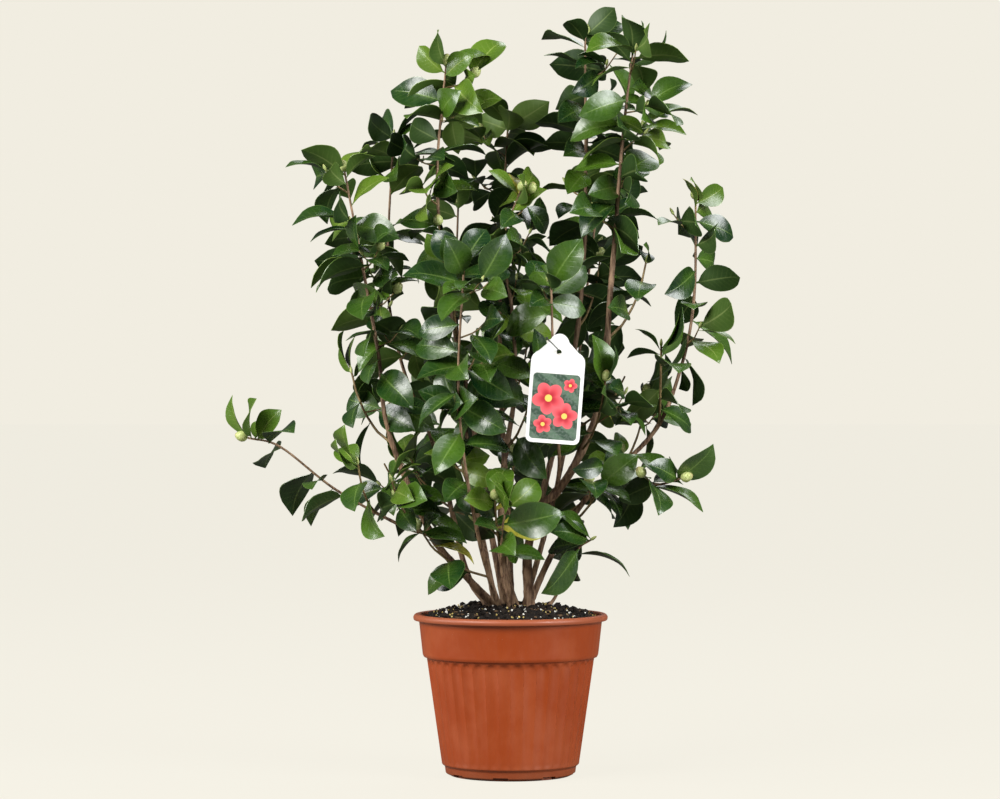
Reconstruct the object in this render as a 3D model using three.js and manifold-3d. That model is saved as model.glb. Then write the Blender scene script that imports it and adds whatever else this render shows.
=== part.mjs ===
// Camellia shrub in a fluted nursery pot, with a plant tag hanging from one shoot.
// Millimetres, +Z up. The origin is the centre of the pot's flat underside, and the tag faces -Y.
//
// The shrub is a clump of stems that rise from the compost. Each stem or bough is one tapering
// limb, cut flat at the ground and ending where it enters the foliage at its top. Each mass of
// foliage is one solid: a leader with side twigs, leaves and flower buds, grown by a seeded rule
// inside the space that lies nearer to that leader than to any other.

import * as THREE from "three";
import { mergeVertices } from "three/addons/utils/BufferGeometryUtils.js";
import Module from "manifold-3d";

const wasm = await Module();
wasm.setup();

// ---------------------------------------------------------------- driving dimensions

const CLEARANCE = 0.3; // between pieces that rest on or spring from each other

const POT = {
  height: 215,
  rimRadius: 130,
  collarTop: 122, // outer radius of the smooth collar under the lip
  collarFoot: 117,
  collarDepth: 57, // from the pot's top down to the collar's lower edge
  bodyTop: 111.6, // outer radius of the fluted body
  bodyFoot: 91.4,
  footHeight: 15.5,
  footRadius: 87.6,
  restRadius: 79.5, // radius of the flat underside
  footSlope: { inset: 1.4, height: 3 }, // the foot's lower edge slopes in to the underside
  footShoulder: 3.5, // from the step over the foot down to where the foot is widest
  lipHeight: 9,
  lipBevel: 3, // the lip's upper outer corner
  lipUnder: { inset: 1, height: 0.4 }, // the lip's lower edge
  wall: 2.2,
  wallBend: 3, // from the collar's lower edge up and down to where the inner wall bends
  floor: 4,
  floorInset: 4, // from the foot's wall in to the edge of the inner floor
  floorBend: 2, // from the step over the foot up to where the inner wall starts
  flutes: 40,
  fluteDepth: 1.2,
  fluteFade: 0.25, // share of that depth left at the foot
  fluteStop: 1, // from the collar's lower edge down to the top of the flutes
  drains: 8,
  drainWidth: 20,
  drainHeight: 5,
  drainReach: 20,
  drainTurn: 0.2, // share of a step by which the first slot is turned from +X
};

const GROUND = 224; // height of the compost where the stems leave it
// The filling keeps a fit of its own to the pot's wall. Its mound falls through a bend to its edge.
const COMPOST = { fit: 0.3, flatRadius: 60, bendRadius: 92, bendShare: 0.6, edgeHeight: 208, segments: 32 };

// Leaves are a little over life size. Width, fold, droop and thickness are shares of a leaf's length.
const LEAF = { shortest: 62, longest: 84, width: 0.58, fold: 0.055, droop: 0.16 };
const LIGHT_LEAN = 1.8; // leaf faces turn to light that comes from above and from outside the crown
const CROWN_AXIS = [0, 30]; // the upright line that "outside" is counted from
const BUD = { radius: 7.4, length: 18 };
const TWIG = { root: 1.45, tip: 0.95, shortest: 34, longest: 58 };
const LEADER_TIP = 1.3; // radius

// Leaves spiral up a shoot by the golden turn and crowd at its crest. A twig replaces some of them.
const GROWTH = {
  internode: 24.2,
  topStart: 14, // from the end of a limb to the first leaf
  sideStart: 30, // from the axis of the limb to a side shoot's first leaf
  crestLeaves: 4,
  crestStep: 4,
  twigEvery: 3,
};

// Distances kept between the sampled points of a new leaf or twig and what is there already.
const ROOM = { limb: 4.6, border: 2.5, ownLeaves: 4.5, otherShoots: 6.5, ground: 6, reach: 90 };

const TAG = {
  width: 70,
  length: 142,
  thickness: 0.8,
  shoulder: 37, // from the top down to where the sides run straight
  lobe: 11, // radius of the rounded top
  corner: 9,
  holeRadius: 3.6,
  holeDrop: 24, // from the top to the hole's centre
  lean: 0.075, // radians, the top towards +X
  hole: [62, -134, 561],
};
const TAG_ROOM = { side: 44, behind: 9, height: 82, middleDrop: 49 }; // no leaf grows in this box
const TIE = { radius: 0.7, bend: 11, turn: Math.PI / 4 };

// Each limb: the points that it passes through, its radius at the foot and where it enters the
// foliage, the share of its whole line that is bare limb, and the side shoots that it carries,
// each as [share along the line, compass angle, size].
const LIMBS = [
  {
    name: "left",
    way: [
      [-19, -15, GROUND], [-59, -28, 266], [-105, -42, 323], [-160, -56, 455], [-174, -56, 560],
      [-198, -48, 690], [-219, -42, 800],
    ],
    foot: 5.4, top: 2.6, bare: 0.54,
    sides: [[0.2, 235, 1.1], [0.42, 150, 1]],
  },
  {
    name: "left_low",
    from: "left",
    way: [[-104, -42, 322], [-143, -60, 334], [-228, -88, 382], [-300, -94, 438], [-343, -92, 450]],
    foot: 2.9, top: 1.7, bare: 0.4,
    sides: [[0.3, 250, 0.8]],
  },
  {
    name: "left_back",
    way: [
      [-30, 12, GROUND], [-60, 28, 272], [-97, 68, 420], [-143, 84, 534], [-166, 88, 640],
      [-165, 82, 740], [-158, 74, 858],
    ],
    foot: 4.2, top: 2.4, bare: 0.46,
    sides: [[0.19, 190, 1.1], [0.35, 80, 1]],
  },
  {
    name: "centre_left",
    way: [
      [-7, 4, GROUND], [-30, 18, 345], [-52, 26, 480], [-84, 18, 647], [-98, 8, 794],
      [-86, 0, 944],
    ],
    foot: 4.8, top: 2.6, bare: 0.6,
    sides: [[0.17, 250, 1.2], [0.36, 120, 1], [0.5, 265, 1]],
  },
  {
    name: "centre",
    way: [
      [6, -13, GROUND], [-11, -12, 290], [-10, -8, 402], [6, 0, 513], [2, 5, 620], [-11, 4, 707],
      [13, 0, 777],
    ],
    foot: 5.8, top: 2.8, bare: 0.54,
    sides: [[0.13, 265, 1.15], [0.38, 300, 1.1]],
  },
  {
    name: "right_tall",
    way: [
      [25, -8, GROUND], [23, -10, 299], [40, -14, 356], [60, -18, 376], [88, -22, 419],
      [120, -24, 503], [133, -18, 647], [150, -6, 854], [163, 0, 962],
    ],
    foot: 6.6, top: 3.4, bare: 0.62,
    sides: [[0.3, 290, 1.1], [0.5, 20, 1]],
  },
  {
    name: "right_back",
    from: "right_tall",
    way: [[28, -11, 330], [53, 28, 413], [87, 58, 568], [100, 68, 700], [102, 66, 825], [101, 56, 992]],
    foot: 4.4, top: 2.6, bare: 0.6,
    sides: [[0.2, 10, 1.1], [0.42, 60, 1]],
  },
  {
    name: "right_arch",
    way: [
      [24, 20, GROUND], [60, 28, 301], [106, 18, 373], [191, -4, 457], [229, -6, 550],
      [245, -2, 641], [247, 2, 766],
    ],
    foot: 4.6, top: 2.4, bare: 0.6,
    sides: [[0.2, 300, 1.1], [0.38, 60, 1], [0.5, 270, 1]],
  },
  {
    name: "right_low",
    from: "right_arch",
    way: [[106, 18, 373], [143, -6, 380], [198, -42, 388], [224, -54, 396]],
    foot: 2.6, top: 1.7, bare: 0.38,
    sides: [],
  },
  {
    name: "right_foot",
    way: [[50, -4, GROUND], [62, -10, 242], [87, -34, 299], [107, -50, 316]],
    foot: 2.1, top: 1.5, bare: 0.5,
    sides: [],
  },
  {
    name: "back_centre",
    way: [[1, 42, GROUND], [-3, 72, 330], [-12, 118, 500], [-14, 136, 640], [-8, 140, 780], [-3, 132, 880]],
    foot: 4.8, top: 2.6, bare: 0.54,
    sides: [[0.18, 85, 1.2], [0.4, 60, 1.1]],
  },
  {
    name: "back_left",
    way: [[-20, 34, GROUND], [-50, 112, 377], [-66, 150, 510], [-75, 170, 640], [-72, 172, 770]],
    foot: 4.2, top: 2.3, bare: 0.52,
    sides: [[0.22, 200, 1.2], [0.4, 110, 1]],
  },
  {
    name: "back_right",
    way: [[20, 46, GROUND], [63, 116, 377], [88, 152, 510], [106, 168, 650], [122, 168, 777]],
    foot: 4.2, top: 2.3, bare: 0.52,
    sides: [[0.22, 340, 1.2], [0.4, 70, 1]],
  },
  {
    name: "front_left",
    way: [[-15, -26, GROUND], [-40, -66, 310], [-60, -108, 420], [-68, -130, 526], [-60, -140, 678]],
    foot: 3.6, top: 1.8, bare: 0.46,
    sides: [[0.1, 205, 1.05]],
  },
  {
    name: "front_right",
    from: "right_tall",
    way: [
      [60, -18, 376], [64, -58, 420], [58, -104, 490], [55, -122.5, 530], [54.2, -126, 571],
      [53.6, -127.6, 592], [52, -133, 650],
    ],
    foot: 2.6, top: 1.6, bare: 0.78,
    sides: [],
  },
  {
    name: "front_low",
    way: [[-2, -34, GROUND], [-12, -70, 275], [-11, -108, 331], [-4, -120, 364]],
    foot: 2.4, top: 1.5, bare: 0.42,
    sides: [],
  },
];

// Places where sky shows through the crown, as upright ellipses that run through it along Y:
// the centre's x and z, half the width and half the height.
const OPENINGS = [
  [190, 611, 28, 22], [207, 778, 28, 22], [-130, 627, 27, 19], [-163, 757, 22, 16], [166, 537, 20, 18],
  [205, 705, 18, 21], [-7, 930, 34, 18], [51, 816, 23, 13], [267, 535, 20, 15], [-57, 749, 22, 9],
  [-176, 417, 18, 17], [-233, 341, 22, 14], [59, 772, 16, 12], [-266, 430, 32, 22],
  [-63, 595, 12, 12], [-138, 701, 16, 9], [-229, 631, 18, 13], [167, 449, 11, 10], [143, 316, 13, 12],
  [-250, 520, 30, 58],
];

const SIDE_SHOOT = { lowReach: 105, highReach: 56, lowClimb: 52, highClimb: 104, radius: 1.9 };
const FIRST_SEED = 101;
const SEED_STEP = 7;

// Where the leaves of a twig stand: share along it, turn from its heading, and rise, in radians.
const TWIG_LEAVES = [[0.97, 0.15, 0.45], [0.84, -0.95, 0], [0.7, 1.1, 0.1], [0.4, -1.4, -0.25]];

// The turn, the lift and the length that a leaf tries in order until one of them has room,
// in degrees and as a share of its full length.
const TRIES = [
  [0, 0, 1], [22, 5, 1], [-22, 5, 1], [0, 22, 1], [0, -20, 1], [48, 8, 1], [-48, 8, 1], [12, 35, 0.9],
  [-80, 10, 0.9], [80, 10, 0.9], [0, -45, 0.85], [120, 0, 0.8], [-120, 0, 0.8], [0, 10, 0.72], [180, 0, 0.72],
];

// ---------------------------------------------------------------- small tools

const GOLDEN_TURN = THREE.MathUtils.degToRad(137.5);
const UP = new THREE.Vector3(0, 0, 1);
const SPAN_STEPS = 8; // samples on each span of a smooth line
const LIMB_STEP = 46; // length of a straight piece of a limb's solid

/** The 32-bit generator mulberry32: a function that gives the next number from 0 to 1. */
function seededRandom(seed) {
  let state = seed | 0;
  return () => {
    state = (state + 0x6d2b79f5) | 0;
    let t = Math.imul(state ^ (state >>> 15), 1 | state);
    t = (t + Math.imul(t ^ (t >>> 7), 61 | t)) ^ t;
    return ((t ^ (t >>> 14)) >>> 0) / 4294967296;
  };
}

const mix = (a, b, share) => a + (b - a) * share;
const radians = THREE.MathUtils.degToRad;
const heading = (angle) => new THREE.Vector3(Math.cos(angle), Math.sin(angle), 0);
const lifted = (angle, rise) => offset(heading(angle).multiplyScalar(Math.cos(rise)), UP, Math.sin(rise));
const offset = (point, direction, distance) => point.clone().addScaledVector(direction, distance);

/** A smooth line through the given points: Catmull-Rom spans, with the distance run at each sample. */
function lineThrough(way) {
  const corners = way.map((p) => (p.isVector3 ? p : new THREE.Vector3(...p)));
  const last = corners.length - 1;
  const points = [corners[0].clone()];
  for (let i = 0; i < last; i++) {
    const [a, b] = [corners[i], corners[i + 1]];
    const before = corners[i - 1] ?? a.clone().multiplyScalar(2).sub(b);
    const after = corners[i + 2] ?? b.clone().multiplyScalar(2).sub(a);
    for (let k = 1; k <= SPAN_STEPS; k++) {
      const t = k / SPAN_STEPS;
      const point = new THREE.Vector3();
      for (const axis of ["x", "y", "z"]) {
        const [p, q, r, s] = [before[axis], a[axis], b[axis], after[axis]];
        point[axis] = q + 0.5 * t * (r - p + t * (2 * p - 5 * q + 4 * r - s + t * (3 * (q - r) + s - p)));
      }
      points.push(point);
    }
  }
  return measured(points);
}

function measured(points) {
  const run = [0];
  for (let i = 1; i < points.length; i++) run.push(run[i - 1] + points[i].distanceTo(points[i - 1]));
  return { points, run, length: run[run.length - 1] };
}

function pointAt(line, distance) {
  const last = line.points.length - 1;
  let i = 1;
  while (i < last && line.run[i] < distance) i++;
  const share = (distance - line.run[i - 1]) / (line.run[i] - line.run[i - 1]);
  return line.points[i - 1].clone().lerp(line.points[i], share);
}

function directionAt(line, distance) {
  const step = 2;
  return pointAt(line, distance + step).sub(pointAt(line, distance - step)).normalize();
}

/** The stretch of a line between two distances, sampled again in equal steps. */
function stretch(line, from, to, steps) {
  return measured(Array.from({ length: steps + 1 }, (_, i) => pointAt(line, mix(from, to, i / steps))));
}

/** Points about every `spacing` millimetres along a line, to measure distances from. */
function markers(line, spacing) {
  const count = Math.max(2, Math.round(line.length / spacing));
  return stretch(line, 0, line.length, count).points;
}

/** Distance from a point to the nearest of the marks. */
function nearest(marks, point) {
  return Math.sqrt(marks.reduce((least, mark) => Math.min(least, mark.distanceToSquared(point)), Infinity));
}

// ---------------------------------------------------------------- solids

function solidFromFaces(vertices, faces) {
  return new wasm.Manifold(
    new wasm.Mesh({
      numProp: 3,
      vertProperties: new Float32Array(vertices.flatMap((v) => [v.x, v.y, v.z])),
      triVerts: new Uint32Array(faces.flat()),
    }),
  );
}

function solidFrom(geometry) {
  const bare = geometry.clone();
  bare.deleteAttribute("normal");
  bare.deleteAttribute("uv");
  const merged = mergeVertices(bare, 1e-4);
  return new wasm.Manifold(
    new wasm.Mesh({
      numProp: 3,
      vertProperties: merged.attributes.position.array,
      triVerts: new Uint32Array(merged.index.array),
    }),
  );
}

function geometryOf(solid) {
  const mesh = solid.getMesh();
  const geometry = new THREE.BufferGeometry();
  geometry.setAttribute("position", new THREE.BufferAttribute(new Float32Array(mesh.vertProperties), 3));
  geometry.setIndex(new THREE.BufferAttribute(new Uint32Array(mesh.triVerts), 1));
  return geometry;
}

/** One closed body: short edges collapsed, and scraps and sealed pockets left out. */
function oneBody(solid) {
  const bodies = solid.asOriginal().simplify(0.12).decompose();
  return bodies.reduce((a, b) => (b.volume() > a.volume() ? b : a));
}

/** The side faces between one ring of points and the next, for rings that follow in order. */
function bandFaces(first, rings, sides) {
  const faces = [];
  for (let i = 0; i + 1 < rings; i++) {
    for (let k = 0; k < sides; k++) {
      const a = first + i * sides + k;
      const b = first + i * sides + ((k + 1) % sides);
      faces.push([a, b, b + sides], [a, b + sides, a + sides]);
    }
  }
  return faces;
}

/** A tapering rod along a line. Its foot can be cut level; its other ends are square. */
function taperedRod(line, sides, radiusAt, levelFoot = false) {
  const vertices = line.points.flatMap((centre, i) => {
    const along = levelFoot && i === 0 ? UP : directionAt(line, line.run[i]);
    const across = new THREE.Vector3(0, 1, 0).cross(along).normalize();
    const other = along.clone().cross(across);
    const radius = radiusAt(line.run[i] / line.length);
    return Array.from({ length: sides }, (_, k) => {
      const angle = (2 * Math.PI * k) / sides;
      return offset(offset(centre, across, radius * Math.cos(angle)), other, radius * Math.sin(angle));
    });
  });
  const faces = bandFaces(0, line.points.length, sides);
  const last = vertices.length - sides;
  for (let k = 1; k + 1 < sides; k++) {
    faces.push([0, k + 1, k], [last, last + k, last + k + 1]);
  }
  return solidFromFaces(vertices, faces);
}

/** A profile [radius, height] turned about Z. It starts and ends on the axis, and runs outwards first. */
function turned(profile, segments, dip = () => 0) {
  const rings = profile.slice(1, -1);
  const vertices = [new THREE.Vector3(0, 0, profile[0][1])];
  for (const [radius, height] of rings) {
    for (let k = 0; k < segments; k++) {
      const point = heading((2 * Math.PI * k) / segments).multiplyScalar(radius - dip(radius, height, k));
      vertices.push(point.setZ(height));
    }
  }
  vertices.push(new THREE.Vector3(0, 0, profile[profile.length - 1][1]));
  const faces = bandFaces(1, rings.length, segments);
  const top = vertices.length - 1;
  for (let k = 0; k < segments; k++) {
    const next = (k + 1) % segments;
    faces.push([0, 1 + next, 1 + k], [top, top - segments + k, top - segments + next]);
  }
  return solidFromFaces(vertices, faces);
}

// ---------------------------------------------------------------- pot and compost

function potSolid() {
  const p = POT;
  const collarFootHeight = p.height - p.collarDepth;
  const fluteTop = collarFootHeight - p.fluteStop;
  const profile = [
    [0, 0],
    [p.restRadius, 0],
    [p.footRadius - p.footSlope.inset, p.footSlope.height],
    [p.footRadius, p.footHeight - p.footShoulder],
    [p.bodyFoot, p.footHeight],
    [p.bodyTop, fluteTop],
    [p.collarFoot, collarFootHeight],
    [p.collarTop, p.height - p.lipHeight],
    [p.rimRadius - p.lipUnder.inset, p.height - p.lipHeight + p.lipUnder.height],
    [p.rimRadius, p.height - p.lipBevel],
    [p.rimRadius - p.lipBevel, p.height],
    [p.collarTop - p.wall, p.height],
    [p.collarFoot - p.wall, collarFootHeight + p.wallBend],
    [p.bodyTop - p.wall, collarFootHeight - p.wallBend],
    [p.bodyFoot - p.wall, p.footHeight + p.floorBend],
    [p.footRadius - p.wall - p.floorInset, p.floor],
    [0, p.floor],
  ];
  const fluteDip = (radius, height, k) => {
    const share = (height - p.footHeight) / (fluteTop - p.footHeight);
    const onBody = share > -0.001 && share < 1.001 && radius > mix(p.bodyFoot, p.bodyTop, share) - 1;
    return onBody && k % 2 === 1 ? p.fluteDepth * mix(p.fluteFade, 1, share) : 0;
  };
  let pot = turned(profile, 2 * p.flutes, fluteDip);
  for (let i = 0; i < p.drains; i++) {
    const slot = new THREE.BoxGeometry(p.drainReach, p.drainWidth, 2 * p.drainHeight);
    slot.translate(p.restRadius + p.drainReach / 2, 0, 0);
    slot.rotateZ((2 * Math.PI * (i - p.drainTurn)) / p.drains);
    pot = pot.subtract(solidFrom(slot));
  }
  return pot;
}

function compostSolid() {
  const p = POT;
  const collarFootHeight = p.height - p.collarDepth;
  const fit = p.wall + CLEARANCE;
  const edgeShare = (COMPOST.edgeHeight - collarFootHeight - p.wallBend) / (p.collarDepth - p.wallBend);
  const edge = mix(p.collarFoot, p.collarTop, edgeShare);
  return turned(
    [
      [0, p.floor + CLEARANCE],
      [p.footRadius - fit - p.floorInset - COMPOST.fit, p.floor + CLEARANCE],
      [p.bodyFoot - fit - COMPOST.fit, p.footHeight + p.floorBend + COMPOST.fit],
      [p.bodyTop - fit - COMPOST.fit, collarFootHeight - p.wallBend],
      [p.collarFoot - fit - COMPOST.fit, collarFootHeight + p.wallBend + COMPOST.fit],
      [edge - fit - COMPOST.fit, COMPOST.edgeHeight],
      [COMPOST.bendRadius, mix(COMPOST.edgeHeight, GROUND, COMPOST.bendShare)],
      [COMPOST.flatRadius, GROUND - CLEARANCE],
      [0, GROUND - CLEARANCE],
    ],
    COMPOST.segments,
  );
}

// ---------------------------------------------------------------- limbs

/** Sets each limb's line; a bough's first point is moved onto the axis of the stem that carries it. */
function traceLimbs() {
  const byName = {};
  for (const limb of LIMBS) {
    const way = limb.way.map((p) => new THREE.Vector3(...p));
    if (limb.from) {
      const start = way[0];
      const axis = markers(byName[limb.from].line, 2);
      way[0] = axis.reduce((a, b) => (b.distanceTo(start) < a.distanceTo(start) ? b : a));
    }
    limb.line = lineThrough(way);
    limb.bareLength = limb.bare * limb.line.length;
    limb.marks = markers(stretch(limb.line, 0, limb.bareLength, 40), 6);
    byName[limb.name] = limb;
  }
  return byName;
}

/** Radius along a limb: a steady taper, with a flare over its lowest part where it meets the ground. */
function limbRadius(limb, distance) {
  const flare = limb.from ? 0 : 0.28 * Math.exp(-distance / 12);
  return mix(limb.foot, limb.top, Math.min(1, distance / limb.bareLength)) * (1 + flare);
}

/** A limb's bare part; its foot is cut level where it stands on the ground. */
function limbSolid(limb, grown = 0) {
  const steps = Math.max(4, Math.round(limb.bareLength / LIMB_STEP));
  const line = stretch(limb.line, 0, limb.bareLength, steps);
  const sides = limb.foot > 4 ? 6 : 5;
  return taperedRod(line, sides, (share) => limbRadius(limb, share * limb.bareLength) + grown, !limb.from);
}

// ---------------------------------------------------------------- growth of the foliage

/** Every mass of foliage: first the top of each limb, then the side shoots along its bare part. */
function planShoots() {
  const tops = LIMBS.map((limb) => {
    const entry = limb.bareLength + CLEARANCE;
    const steps = Math.max(3, Math.round((limb.line.length - entry) / LIMB_STEP));
    return {
      name: `foliage_${limb.name}`,
      line: stretch(limb.line, entry, limb.line.length, steps),
      radius: limb.top,
      limb,
      leading: true,
    };
  });
  const sides = LIMBS.flatMap((limb) =>
    limb.sides.map(([share, turn, size], i) => {
      const start = pointAt(limb.line, share * limb.line.length);
      const out = heading(radians(turn));
      const height = Math.min(1, share / 0.5); // low shoots reach outwards, high ones climb
      const reach = mix(SIDE_SHOOT.lowReach, SIDE_SHOOT.highReach, height) * size;
      const climb = mix(SIDE_SHOOT.lowClimb, SIDE_SHOOT.highClimb, height) * size;
      const step = (spread, rise) => offset(offset(start, out, spread * reach), UP, rise * climb);
      const line = lineThrough([start, step(0.42, 0.2), step(0.8, 0.58), step(1, 1)]);
      return {
        name: `foliage_${limb.name}_side_${i + 1}`,
        line: stretch(line, 0, line.length, 4),
        radius: SIDE_SHOOT.radius,
        limb,
        leading: false,
      };
    }),
  );
  const shoots = [...tops, ...sides];
  shoots.forEach((shoot, i) => {
    shoot.seed = FIRST_SEED + SEED_STEP * i;
    shoot.marks = markers(shoot.line, 12);
  });
  return shoots;
}

const middleOf = (samples) => samples[Math.floor(samples.length / 2)];

/** Whether a point lies in the box round the tag where no leaf grows. */
function byTag(point) {
  const [x, y, z] = TAG.hole;
  const height = Math.abs(point.z - (z - TAG_ROOM.middleDrop));
  return Math.abs(point.x - x) < TAG_ROOM.side && point.y < y + TAG_ROOM.behind && height < TAG_ROOM.height;
}

/** Whether a point lies in one of the openings through the crown. */
const inOpening = (point) =>
  OPENINGS.some(([x, z, wide, high]) => Math.hypot((point.x - x) / wide, (point.z - z) / high) < 1);

/** The room left in the crown: what has grown so far, and whose space any point belongs to. */
class Crown {
  constructor(shoots) {
    this.shoots = shoots;
    this.grown = [];
  }

  /** Whether a point lies well inside the shoot's own space, clear of limbs, tag, compost and sky. */
  allows(shoot, point) {
    if (point.z < GROUND + ROOM.ground || byTag(point) || inOpening(point)) return false;
    const own = nearest(shoot.marks, point);
    if (this.shoots.some((other) => other !== shoot && nearest(other.marks, point) < own + ROOM.border)) {
      return false;
    }
    return LIMBS.every((limb) =>
      limb.marks.every((mark, i) => {
        const radius = limbRadius(limb, (i / (limb.marks.length - 1)) * limb.bareLength);
        return mark.distanceTo(point) > radius + ROOM.limb;
      }),
    );
  }

  /** Whether the samples of a new part keep their distance from everything grown already. */
  hasRoom(shoot, samples) {
    const centre = middleOf(samples);
    return this.grown.every((part) => {
      if (part.twig && part.shoot === shoot) return true;
      if (part.centre.distanceTo(centre) > ROOM.reach) return true;
      const gap = part.shoot === shoot ? ROOM.ownLeaves : ROOM.otherShoots;
      return samples.every((s) => part.samples.every((t) => s.distanceTo(t) > gap));
    });
  }

  settle(shoot, samples, twig) {
    this.grown.push({ shoot, samples, twig, centre: middleOf(samples) });
  }
}

/** A leaf's frame: its root and tip, the direction across it, its upper side and its size. */
function leafAt(root, angle, rise, roll, length) {
  const along = lifted(angle, rise);
  const outward = new THREE.Vector3(root.x - CROWN_AXIS[0], root.y - CROWN_AXIS[1], 0).normalize();
  const light = offset(UP, outward, LIGHT_LEAN);
  const upper = offset(light, along, -light.dot(along)).normalize().applyAxisAngle(along, roll);
  const tip = offset(offset(root, along, length), UP, -LEAF.droop * length * Math.cos(rise));
  const side = along.clone().cross(upper).normalize();
  return { root, tip, side, upper, length, width: LEAF.width * length };
}

/** Half the blade's width at a share of its length, as part of the full width. */
const bladeHalf = (share) => 0.5 * Math.sin(Math.PI * Math.pow(share, 0.86)) ** 0.72;

function leafSamples(leaf) {
  const samples = [];
  for (const share of [0.16, 0.3, 0.44, 0.58, 0.72, 0.86]) {
    const middle = offset(leaf.root.clone().lerp(leaf.tip, share), leaf.upper, LEAF.fold * leaf.length);
    for (const across of [-1, -0.5, 0, 0.5, 1]) {
      samples.push(offset(middle, leaf.side, across * bladeHalf(share) * leaf.width));
    }
  }
  samples.push(leaf.tip);
  return samples;
}

/** Grows one shoot: its rods, leaves and buds. The random numbers drawn don't depend on the room. */
function grow(shoot, crown) {
  const random = seededRandom(shoot.seed);
  const { line } = shoot;
  const plant = { rods: [{ line, root: shoot.radius, tip: LEADER_TIP }], leaves: [], buds: [] };

  const addLeaf = (root, angle, rise, share) => {
    const roll = (random() - 0.5) * 1.1;
    const length = mix(LEAF.shortest, LEAF.longest, random()) * share;
    for (const [turn, lift, scale] of TRIES) {
      const leaf = leafAt(root, angle + radians(turn), rise + radians(lift), roll, length * scale);
      const samples = leafSamples(leaf);
      if (samples.every((s) => crown.allows(shoot, s)) && crown.hasRoom(shoot, samples)) {
        crown.settle(shoot, samples, false);
        plant.leaves.push(leaf);
        return;
      }
    }
  };

  const addBud = (tip, along) => {
    const centre = offset(tip, along, 0.42 * BUD.length);
    if (crown.allows(shoot, offset(centre, along, 0.45 * BUD.length)) && crown.hasRoom(shoot, [centre])) {
      crown.settle(shoot, [centre], false);
      plant.buds.push({ centre, along });
    }
  };

  const addTwig = (root, angle) => {
    const length = mix(TWIG.shortest, TWIG.longest, random());
    const rise = mix(0.35, 0.95, random());
    const withBud = random() < 0.3;
    const middle = offset(root, lifted(angle, rise - 0.25), 0.5 * length);
    const tip = offset(middle, lifted(angle, rise + 0.2), 0.5 * length);
    const twig = measured([root, middle, tip]);
    const samples = markers(twig, 7).slice(1);
    const grows = samples.every((s) => crown.allows(shoot, s)) && crown.hasRoom(shoot, samples);
    if (grows) {
      crown.settle(shoot, samples, true);
      plant.rods.push({ line: twig, root: TWIG.root, tip: TWIG.tip });
      if (withBud) addBud(tip, lifted(angle, rise + 0.3));
    }
    for (const [share, turn, lift] of TWIG_LEAVES) {
      const base = grows ? pointAt(twig, share * length) : root;
      const way = angle + turn + (random() - 0.5) * 0.4;
      addLeaf(base, way, lift + (random() - 0.5) * 0.5, mix(0.92, 1, share));
    }
  };

  let angle = 2 * Math.PI * random();
  const tip = line.points[line.points.length - 1];
  if (random() < (shoot.leading ? 0.9 : 0.45)) addBud(tip, directionAt(line, line.length - 3));
  for (let i = 0; i < GROWTH.crestLeaves; i++) {
    const root = pointAt(line, line.length - 1 - GROWTH.crestStep * i);
    addLeaf(root, angle + GOLDEN_TURN * i + (random() - 0.5) * 0.5, mix(0.6, 1.1, random()), 0.92);
  }
  const first = shoot.leading ? GROWTH.topStart : GROWTH.sideStart;
  const last = line.length - GROWTH.crestLeaves * GROWTH.crestStep;
  const nodes = Math.max(2, Math.round((last - first) / GROWTH.internode));
  const twigTurn = shoot.leading ? 2 : 0;
  for (let n = 1; n <= nodes; n++) {
    const root = pointAt(line, mix(first, last, (n - 0.5) / nodes));
    angle += GOLDEN_TURN + (random() - 0.5) * 0.5;
    if (n % GROWTH.twigEvery === twigTurn && n < nodes) addTwig(root, angle);
    else addLeaf(root, angle, mix(-0.65, 0.3, n / nodes) + (random() - 0.5) * 0.9, 1);
  }
  return plant;
}

// ---------------------------------------------------------------- foliage solids

/** A folded blade of ten faces: its edge points raised above a keel that starts inside the twig. */
function leafSolid(leaf) {
  const { root, tip, side, upper, width, length } = leaf;
  const edge = (share, half, raise) =>
    offset(offset(root.clone().lerp(tip, share), side, half * width), upper, raise * length);
  const vertices = [
    edge(-0.015, 0, 0), // inside the twig
    edge(0.44, -0.5, LEAF.fold),
    edge(0.44, 0.5, LEAF.fold),
    edge(0.75, -0.39, LEAF.fold - 0.01),
    edge(0.75, 0.39, LEAF.fold - 0.01),
    tip,
    edge(0.27, 0, -0.5 * LEAF.fold), // the keel's deepest point
  ];
  const faces = [
    [0, 2, 1], [1, 2, 4], [1, 4, 3], [3, 4, 5],
    [0, 1, 6], [0, 6, 2], [6, 1, 3], [6, 3, 5], [6, 5, 4], [6, 4, 2],
  ];
  return solidFromFaces(vertices, faces);
}

/** A pointed bud with six sides. */
function budSolid({ centre, along }) {
  const across = new THREE.Vector3(0, 1, 0).cross(along).normalize();
  const other = along.clone().cross(across);
  const waist = Array.from({ length: 6 }, (_, k) => {
    const angle = (Math.PI * k) / 3;
    return offset(offset(centre, across, BUD.radius * Math.cos(angle)), other, BUD.radius * Math.sin(angle));
  });
  const vertices = [offset(centre, along, -BUD.length / 2), ...waist, offset(centre, along, BUD.length / 2)];
  const faces = [];
  for (let k = 0; k < 6; k++) {
    const next = ((k + 1) % 6) + 1;
    faces.push([0, next, k + 1], [7, k + 1, next]);
  }
  return solidFromFaces(vertices, faces);
}

/** One mass of foliage, cut clear of the limb that a side shoot springs from. */
function foliageSolid(shoot, plant) {
  const solids = plant.rods.map((rod) =>
    taperedRod(rod.line, 3, (share) => mix(rod.root, rod.tip, share)),
  );
  solids.push(...plant.leaves.map(leafSolid), ...plant.buds.map(budSolid));
  let solid = wasm.Manifold.union(solids);
  if (!shoot.leading) solid = solid.subtract(limbSolid(shoot.limb, CLEARANCE));
  return oneBody(solid);
}

// ---------------------------------------------------------------- tag and tie

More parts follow.
